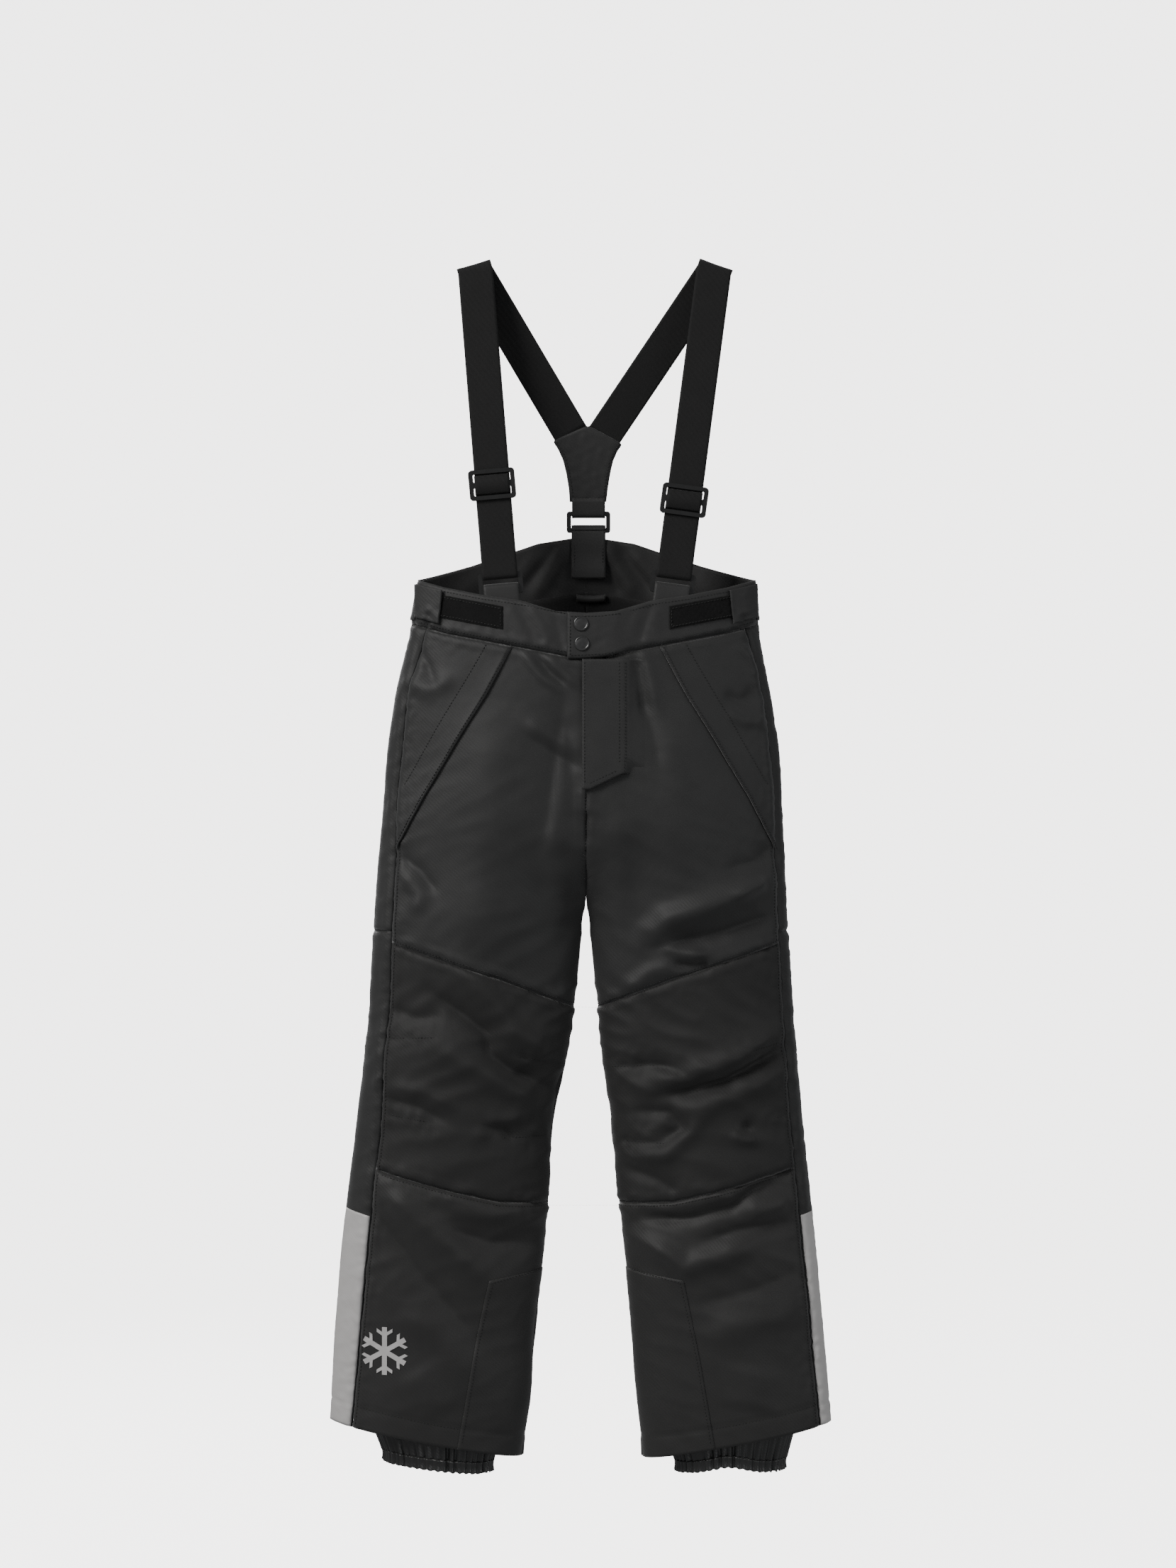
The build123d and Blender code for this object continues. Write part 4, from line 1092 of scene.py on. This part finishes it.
def pile_rise(side, turn, z):
    """Uneven tufts of the loop patch."""
    return 0.35 * waves(FINE, 2.3 * section(side, turn, z)[..., 0], 2.3 * z)


for side, word in SIDES.items():
    pile = patch(f"loop_patch_pile_{word}", side, sloped((84, -356), (160, -341)),
                 sloped((84, -379), (160, -364)), upright(side, 84, 84), upright(side, 160, 160), PILE, 1.2,
                 lift=1.7, step=1.3, rise=pile_rise)
    finish_piece(pile, "garment", "loop_pile", "loop_patches")
    base = patch(f"adjuster_base_cloth_{word}", side, level(-331), level(-368), upright(side, 172.5, 172.5),
                 level(0.70), SHELL, 1.4, lift=1.9, step=2.4)
    finish_piece(base, "garment", "shell_cloth", "adjuster_bases")
    body = f"adjuster_tab_{word}"
    root, bend_end = (side * 0.1715, -0.0135, -0.350), (side * 0.165, -0.0175, -0.350)
    hook = patch(f"hook_patch_tape_{word}", side, sloped((147, -344), (166, -339)),
                 sloped((147, -367), (166, -363)), upright(side, 147.5, 148.5), upright(side, 164, 164), HOOK,
                 0.6, lift=2.5, step=2.0)
    bend_piece(hook, body, "hook_tape", root, bend_end, f"hook_patch_{word}")
    tab = patch(f"adjuster_tab_cloth_{word}", side, sloped((144, -339), (171, -332)),
                sloped((148, -373), (171, -366)), upright(side, 143.5, 148), upright(side, 171.2, 171.2),
                SHELL, 1.5, lift=4.1, step=1.8, rise=tab_curl)
    bend_piece(tab, body, "shell_cloth", root, bend_end, body)


# ======== braces ========
STRAP_TOP = {-1: (-115, -3.5, -5), 1: (133, -3.5, -5)}
STRAP_FOOT = {-1: (-87, -31, -323.5), 1: (89, -31, -323.5)}
SLIDER_UP = {-1: 92, 1: 76}
YOKE_JOIN = {-1: (-16.5, -173), 1: (19.5, -175)}
WIDE, WEB_THICK = 35.5, 1.5
# Middle of the cloth to the middle of the bar it goes round.
BAR_TURN, LOOP_TURN, TAB_TURN, YOKE_TURN = 3.75, 4.75, 5.3, 3.8
BEND_R, BEND_OUT = 7.2, 7.95
REAR_TOP_Y, REAR_SLOPE = 7.2, 0.129
RING_REACH = 8.8
REAR_UP = np.array([0, -REAR_SLOPE, 1.0]) / (1 + REAR_SLOPE ** 2) ** 0.5
REAR_OUT = np.array([0, -1.0, -REAR_SLOPE]) / (1 + REAR_SLOPE ** 2) ** 0.5


def unit(v):
    """The direction of a vector."""
    return v / np.linalg.norm(v)


def strap_axes(side):
    """Foot point, and the directions up the strap, across it and to its front."""
    foot, top = np.array(STRAP_FOOT[side], float), np.array(STRAP_TOP[side], float)
    up = unit(top - foot)
    across = unit(np.array([1.0, 0, 0]) - up * up[0])
    return foot, up, across, np.cross(across, up)


RIBBON_COLUMNS, RIBBON_EDGE = 15, 0.25


def ribbon(name, centres, acrosses, wide, thick, material):
    """Flat tape along a line of middles, with one direction across or one for each middle."""
    centres = np.asarray(centres)
    acrosses = np.broadcast_to(acrosses, centres.shape)
    verts = []
    for c, a, d in zip(centres, acrosses, np.gradient(centres, axis=0)):
        normal = unit(np.cross(a, d))
        for u in np.linspace(-1, 1, RIBBON_COLUMNS):
            lift = -RIBBON_EDGE * max(0.0, abs(u) - 0.85) / 0.15
            verts.append(c + a * u * wide / 2 + normal * lift)
    obj = make_object(name, verts, grid_faces(len(centres), RIBBON_COLUMNS), material)
    return thicken(obj, thick, offset=0.0)


def straight(a, b, step=5.0):
    """Points on a straight line."""
    a, b = np.asarray(a), np.asarray(b)
    count = max(3, int(np.linalg.norm(b - a) / step))
    return [a + (b - a) * k / (count - 1) for k in range(count)]


def around(centre, start, down, radius, count=11):
    """Half circle from one side of a bar to the other through the given direction."""
    return [centre + radius * (cos(pi * k / (count - 1)) * start + sin(pi * k / (count - 1)) * down)
            for k in range(count)]


for side, word in SIDES.items():
    foot, up, across, forward = strap_axes(side)
    top = np.array(STRAP_TOP[side], float)
    join_x, join_z = YOKE_JOIN[side]
    yoke_end = np.array([join_x, REAR_TOP_Y - REAR_SLOPE * join_z, join_z])
    back_lean = atan2(abs(top[0] - join_x), top[2] - join_z)
    front_lean = atan2(abs(top[0] - foot[0]), top[2] - foot[2])
    fold = side * (back_lean + front_lean) / 2
    fold_up, fold_across = np.array([sin(fold), 0, cos(fold)]), np.array([cos(fold), 0, -sin(fold)])
    bend_middle = np.array([top[0], 0, top[2]]) - fold_up * BEND_OUT
    to_front = np.array([0, -1.0, 0])
    front_end, back_start = bend_middle + to_front * BEND_R, bend_middle - to_front * BEND_R
    back_way = unit(yoke_end - back_start)
    back_across = unit(np.cross(back_way, REAR_OUT))
    back_across *= np.sign(back_across[0])
    hairpin = [foot + up * h - forward * BAR_TURN for h in (12, 8, 4)] + around(foot, -forward, -up, BAR_TURN)
    front_run = straight(foot + forward * BAR_TURN, front_end)[1:-1]
    bend = around(bend_middle, to_front, fold_up, BEND_R, 15)
    back_run = straight(back_start, yoke_end + back_way * 3)[1:]
    middles = hairpin + front_run + bend + back_run
    bend_across = []
    for t in np.linspace(0, 1, len(bend)):
        near_end, end_across = abs(2 * t - 1), across if t < 0.5 else back_across
        bend_across.append(unit(fold_across * (1 - near_end) + end_across * near_end))
    sides_across = [across] * (len(hairpin) + len(front_run)) + bend_across + [back_across] * len(back_run)
    strap = ribbon(f"shoulder_strap_webbing_{word}", middles, sides_across, WIDE, WEB_THICK, WEBBING)
    finish_piece(strap, "garment", "elastic_webbing", f"shoulder_strap_{word}")

    high = SLIDER_UP[side]
    low_end, high_end = foot + up * 12.6 - forward * BAR_TURN, foot + up * (high + 2) - forward * BAR_TURN
    path = straight(low_end, high_end, 3.0)
    returned = ribbon(f"strap_return_webbing_{word}", path, across, WIDE - 0.2, WEB_THICK, WEBBING)
    bend_piece(returned, f"strap_slider_{word}", "elastic_webbing", low_end * MM, high_end * MM,
               f"strap_return_{word}")

    back_of_slider = BAR_TURN + WEB_THICK / 2 + 0.4
    arch = []
    for k in range(17):
        t = k / 8 - 1
        arch.append(foot + up * (high + 9.4 * t) + forward * (back_of_slider + 0.9 + 2.9 * (1 - t * t)))
    bight = ribbon(f"strap_bight_webbing_{word}", arch, across, WIDE - 0.3, WEB_THICK, WEBBING)
    finish_piece(bight, f"strap_slider_{word}", "elastic_webbing", f"strap_bight_{word}")

    bar = foot - up * (2 * RING_REACH - 3.4)
    loop = [bar - up * h + forward * LOOP_TURN for h in (20, 15, 10, 5)] + around(bar, forward, up, LOOP_TURN)
    loop += [bar - up * h - forward * LOOP_TURN for h in (5, 10, 15, 20)]
    waist_loop = ribbon(f"waist_loop_cloth_{word}", loop, across, WIDE, WEB_THICK, SHELL)
    finish_piece(waist_loop, "garment", "shell_cloth", "waist_loops")

for node in ("strap_slider_right", "strap_slider_left", "front_ring_right", "front_ring_left", "rear_ring"):
    show_node(node, PLASTIC)
    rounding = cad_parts[node].modifiers.new("rounding", "BEVEL")
    rounding.width = 0.5 * MM
    rounding.segments = 2
    rounding.angle_limit = radians(50)

# Yoke: flat cloth shape with a loop round the rear ring.
YOKE_LEFT = [(2, -167), (-34, -182), (-28.5, -190), (-23.5, -201), (-20, -215), (-17.5, -230), (-16.5, -244)]
YOKE_RIGHT = [(2, -167), (37, -185), (32, -192), (27.5, -202), (24.5, -215), (22, -230), (20.5, -244)]
REAR_BAR = np.array([2.5, REAR_TOP_Y + REAR_SLOPE * 256.07, -256.07])


def rear_point(x, z, n):
    """Point on the sloping plane of the yoke, n in front of it."""
    return np.array([x, REAR_TOP_Y - REAR_SLOPE * z, z]) + REAR_OUT * n


yoke_verts = []
YOKE_ROWS, YOKE_COLUMNS = 34, 25
for z in np.linspace(-167.4, -244, YOKE_ROWS):
    left, right = run_x(YOKE_LEFT, z), run_x(YOKE_RIGHT, z)
    for u in np.linspace(0, 1, YOKE_COLUMNS):
        x = left + (right - left) * u
        edge = min(u, 1 - u) * (right - left)
        lift = 0.9 * (1 - np.exp(-edge / 1.5)) + 0.3 * float(waves(PUCKER, x, z))
        yoke_verts.append(rear_point(x, z, lift))
yoke = make_object("yoke_cloth", yoke_verts, grid_faces(YOKE_ROWS, YOKE_COLUMNS), SHELL)
thicken(tidy_mesh(yoke), 2.4, offset=0.0)
loop = [REAR_BAR + REAR_UP * h + REAR_OUT * YOKE_TURN for h in (16, 12, 8, 4)]
loop += around(REAR_BAR, REAR_OUT, -REAR_UP, YOKE_TURN)
loop += [REAR_BAR + REAR_UP * h - REAR_OUT * YOKE_TURN for h in (4, 8, 12, 16)]
AHEAD, UPRIGHT, ALONG_X = np.array([0, -1.0, 0]), np.array([0, 0, 1.0]), np.array([1.0, 0, 0])
yoke_loop = ribbon("yoke_loop", loop, ALONG_X, 34, 1.6, SHELL)
finish_piece(join("suspender_yoke_cloth", [yoke, yoke_loop]), "garment", "shell_cloth", "suspender_yoke")

# Rear tab: over the ring's low bar, sewn outside the high back, its front end peels.
TAB_BAR, TAB_WIDE = np.array([2.5, 42.4944, -273.6]), 35
tab_back, tab_front = TAB_BAR - AHEAD * TAB_TURN, TAB_BAR + AHEAD * TAB_TURN
base_line = around(TAB_BAR, AHEAD, UPRIGHT, TAB_TURN)
base_line += straight(tab_back - UPRIGHT * 3, tab_back - UPRIGHT * 39)
rear_base = ribbon("rear_tab_base_cloth", base_line, ALONG_X, TAB_WIDE, 1.6, SHELL)
finish_piece(rear_base, "garment", "shell_cloth", "rear_tab_base")
tab_line = straight(tab_front - UPRIGHT * 0.4, tab_front - UPRIGHT * 49.5, 2.0)
tab_line = [p + AHEAD * 0.5 * sin(k * 0.4) for k, p in enumerate(tab_line)]
rear_tab = ribbon("rear_tab_cloth", tab_line, ALONG_X, TAB_WIDE, 1.7, SHELL)
TAB_BEND = (0.0025, 0.0372, -0.2742), (0.0025, 0.0372, -0.2830)
bend_piece(rear_tab, "rear_tab", "shell_cloth", *TAB_BEND, "rear_tab")


# ======== snow gaiters ========
GAITER_TOP_X = {-1: -155.5, 1: 146}
GAITER_FOOT_X = {-1: -150.5, 1: 147}
GAITER_HEIGHTS = [-1224, -1140, -1096]
RUFFLED_BELOW = -1150
GATHERS, GAITER_SEGMENTS = 46, 276


def gaiter_foot(side, x):
    """How much higher than its lowest point the gaiter's lower edge hangs."""
    if side < 0:
        return 11 * clipped((-112 - x) / 97)
    return 8 * bell(x - 144, 26) + 2 * clipped((x - 150) / 50)


def gaiter_tube(name, rows, thick, slot, node):
    """Closed tube of gathered cloth through rings of points."""
    faces = grid_faces(len(rows), GAITER_SEGMENTS, close=True)
    obj = thicken(make_object(name, np.concatenate(rows), faces, SATIN), thick, offset=0.0)
    return finish_piece(obj, "garment", slot, node)


for side, word in SIDES.items():
    angle = np.linspace(0, 2 * pi, GAITER_SEGMENTS, endpoint=False)
    ruffle = np.sin(GATHERS * angle + 1.2 * np.sin(5 * angle + side)) + 0.5 * np.sin(31 * angle + 2 * side)
    uneven = 0.75 + 0.25 * np.sin(7 * angle + side)
    rows = []
    for z in np.concatenate([np.linspace(-1098, -1190, 14), np.linspace(-1195, -1224, 14)]):
        share = np.interp(z, GAITER_HEIGHTS, [0, 1, 1])
        middle = GAITER_FOOT_X[side] + (GAITER_TOP_X[side] - GAITER_FOOT_X[side]) * share
        half, deep = np.interp(z, GAITER_HEIGHTS, [57.5, 84, 88]), 32 + share * 0.8
        depth = 2.0 * clipped((RUFFLED_BELOW - z) / 74) ** 1.4 * ruffle * uneven
        x = middle + (half + depth - 2) * np.cos(angle)
        y = (deep + depth - 2) * np.sin(angle)
        lifted = gaiter_foot(side, x) * clipped((RUFFLED_BELOW - z) / 70)
        rows.append(np.stack([x, y, z + lifted], -1))
    gaiter = gaiter_tube(f"snow_gaiter_cloth_{word}", rows, 0.7, "gaiter_cloth", f"snow_gaiter_{word}")
    rows = []
    for k, z in enumerate(np.linspace(-1223, -1234.5, 9)):
        squeeze = 0.9 * cos(pi * (k - 4) / 8)
        x = GAITER_FOOT_X[side] + (55.5 + 1.5 * ruffle * uneven - squeeze) * np.cos(angle)
        y = (31.5 + 1.5 * ruffle * uneven - squeeze) * np.sin(angle)
        edge = 0.9 * np.sin(GATHERS * angle + 0.8) * (k / 8) ** 2
        rows.append(np.stack([x, y, z + gaiter_foot(side, x) + edge * 0.8], -1))
    gaiter_tube(f"gaiter_elastic_band_{word}", rows, 1.6, "gaiter_elastic", "gaiter_elastics")


# ======== seam stitching ========
def shifted(points, by):
    """A line moved up or down."""
    return [(x, z + by) for x, z in points]


def moved_in(points, by):
    """A line moved towards the middle."""
    return [(x - by, z) for x, z in points]


def on_side(side, lift, back, *lines):
    """Stitch rows for one side from lines drawn for the left."""
    return [([(side * x, z) for x, z in line], lift, back) for line in lines]


rows = []
for side in SIDES:
    rows += on_side(side, 0.1, False, shifted(KNEE_TOP, 3.2), shifted(KNEE_BOTTOM[:4] + [(207, -926)], -3.2),
                    moved_in(SIDE_SEAM[1:-1], 4.0), [(65, -1199), (235, -1164)])
    rows += on_side(side, 0.1, True, [(72, -1198), (235, -1164)], [(4, BACK_KNEE + 3), (205, BACK_KNEE + 3)])
    rows += [(dart, 0.2, False) for dart in DARTS[side]]
rows.append(([(3.5, -420), (3.5, -600)], 0.1, True))
rows.append(([(-3.0, -546), (-3.0, -600)], 0.1, False))
seam_stitches("seam_stitches_legs", rows)

rows = []
for side in SIDES:
    start = 36.0 if side > 0 else 2.0
    upper = [(start, run(BAND_TOP, start)), (66, -350), (105, -344), (143, -336), (168, -329)]
    lower = [(start, run(WAIST_SEAM, start)), (74, -396), (140, -383), (170, -374)]
    rows += on_side(side, 0.6, False, shifted(upper, -4.2), shifted(lower, 3.6))
    rows += on_side(side, 0.1, True, shifted([(4, -279), (50, -287), (119, -311), (168, -326)], -4),
                    [(4, BACK_WAIST + 3), (172, BACK_WAIST + 3)])
seam_stitches("seam_stitches_waist", rows)

rows = []
for side in SIDES:
    rows += on_side(side, 3.3, False, moved_in(POCKET_EDGE, -2.4))
    rows += on_side(side, 1.7, False, [(100, -394), (119, -427), (151, -480), (184, -537)])
    rows += on_side(side, 1.0, False, [(46, -1027), (95, -1038), (112, -1118), (126, -1203)])
    rows += on_side(side, 1.9, False, [(86, -358.5), (158, -343.5), (158, -362), (86, -376.6), (86, -358.5)])
seam_stitches("seam_stitches_patches", rows)


def plane_stitches(name, lines, to_point, normal):
    """Stitch rows on a flat piece, drawn in its own plane."""
    verts, faces = [], []
    for line in lines:
        line = dense(line)
        points = np.array([to_point(p, q) for p, q in line])
        stitch_row(verts, faces, points, np.broadcast_to(normal, points.shape))
    return make_object(name, verts, faces, THREAD)


fly_rows = [[(33.4, -3), (33.4, -108)], [(3, -126), (33, -112)], [(3.5, -131), (30, -118)],
            [(-1.6, -3), (-1.6, -128)]]
placket_stitches = plane_stitches("fly_placket_stitches", fly_rows,
                                  lambda x, v: fly_point(x, v, PLACKET_OUT), FLY_OUT)
bend_piece(placket_stitches, "fly_placket", "shell_cloth", *PLACKET_BEND)
flap_rows = [[(-16, 42.5), (16, 43), (36, 46)], [(-16, 3), (18, 4.5), (36, 8)], [(-16, 3), (-16, 42.5)]]
flap_stitches = plane_stitches("waist_flap_stitches", flap_rows, lambda x, v: fly_point(x, v, 2.75), FLY_OUT)
bend_piece(flap_stitches, "waist_flap", "shell_cloth", *FLAP_BEND)
edge_rows = [[(39.6, FLY_TOP - 3), (39.6, FLY_TOP - 118)]]
edge_stitches = plane_stitches("fly_edge_stitches", edge_rows,
                               lambda x, z: fly_point(x, (z - FLY_TOP) * SLOPE_LEN, PLACKET_OUT), FLY_OUT)
finish_piece(edge_stitches, "garment", "shell_cloth")
yoke_rows = [[(x + by, z - (2.5 if z > -170 else 0)) for x, z in line[1:]]
             for line, by in ((YOKE_LEFT, 3.0), (YOKE_RIGHT, -3.0))] + [[(-13, -241), (18, -241)]]
yoke_stitches = plane_stitches("yoke_stitches", yoke_rows, lambda x, z: rear_point(x, z, 2.1), REAR_OUT)
finish_piece(yoke_stitches, "garment", "shell_cloth")
tab_rows = [[(-12, -320), (17, -320)], [(-12, -277), (-12, -320)], [(17, -277), (17, -320)]]
tab_stitches = plane_stitches("rear_tab_stitches", tab_rows, lambda x, z: np.array([x, 36.4, z]), AHEAD)
bend_piece(tab_stitches, "rear_tab", "shell_cloth", *TAB_BEND)


# ======== studio ========
def stage_material():
    """Pale paper that is a little bright by itself, so the background stays even."""
    return new_material("studio_paper", Base_Color=(0.86, 0.85, 0.84, 1), Roughness=0.9,
                        Emission_Color=(1.0, 0.985, 0.975, 1), Emission_Strength=3.7)[0]


ROOM_PROFILE = [(3000, -1700), (5200, -1690), (6200, -1500), (6800, -1000), (7000, 0), (7000, 7000)]
room_verts, ROOM_SEGMENTS = [], 64
for radius, height in ROOM_PROFILE:
    for k in range(ROOM_SEGMENTS):
        a = 2 * pi * k / ROOM_SEGMENTS
        room_verts.append((radius * cos(a), radius * sin(a), height))
room_faces = grid_faces(len(ROOM_PROFILE), ROOM_SEGMENTS, close=True) + [tuple(range(ROOM_SEGMENTS))]
room = make_object("studio_floor", room_verts, room_faces, stage_material())
room.visible_diffuse = False
room.visible_glossy = False
room.visible_shadow = False

world = bpy.data.worlds.new("studio_air")
bpy.context.scene.world = world
world.use_nodes = True
world.node_tree.nodes["Background"].inputs["Color"].default_value = (0.97, 0.985, 1.0, 1)
world.node_tree.nodes["Background"].inputs["Strength"].default_value = 0.30


def soft_light(name, place, target, size, power, colour=(1, 1, 1)):
    """Rectangular lamp that faces a point and isn't seen itself."""
    lamp = bpy.data.lights.new(name, "AREA")
    lamp.shape = "RECTANGLE"
    lamp.size, lamp.size_y = size
    lamp.energy = power
    lamp.color = colour
    obj = new_object(name, lamp)
    obj.location = place
    obj.rotation_euler = (Vector(target) - Vector(place)).to_track_quat("-Z", "Y").to_euler()
    obj.visible_camera = False


soft_light("window", (-2.3, -2.0, 1.5), (0, 0, -0.65), (1.3, 1.6), 105, (1.0, 0.985, 0.97))
soft_light("fill", (2.4, -2.4, -0.2), (0, 0, -0.7), (1.6, 2.0), 18)
soft_light("back", (-1.3, 3.0, 0.6), (0, 0, -0.7), (2.0, 2.0), 60)

# The camera looks level at the middle of the trousers from 3.5 m.
camera_data = bpy.data.cameras.new("camera")
camera_data.sensor_width = 36
camera_data.lens = 78.75
camera = new_object("camera", camera_data)
camera.location = (0.002, -3.5, -0.535)
camera.rotation_euler = (radians(90), 0, 0)
bpy.context.scene.camera = camera
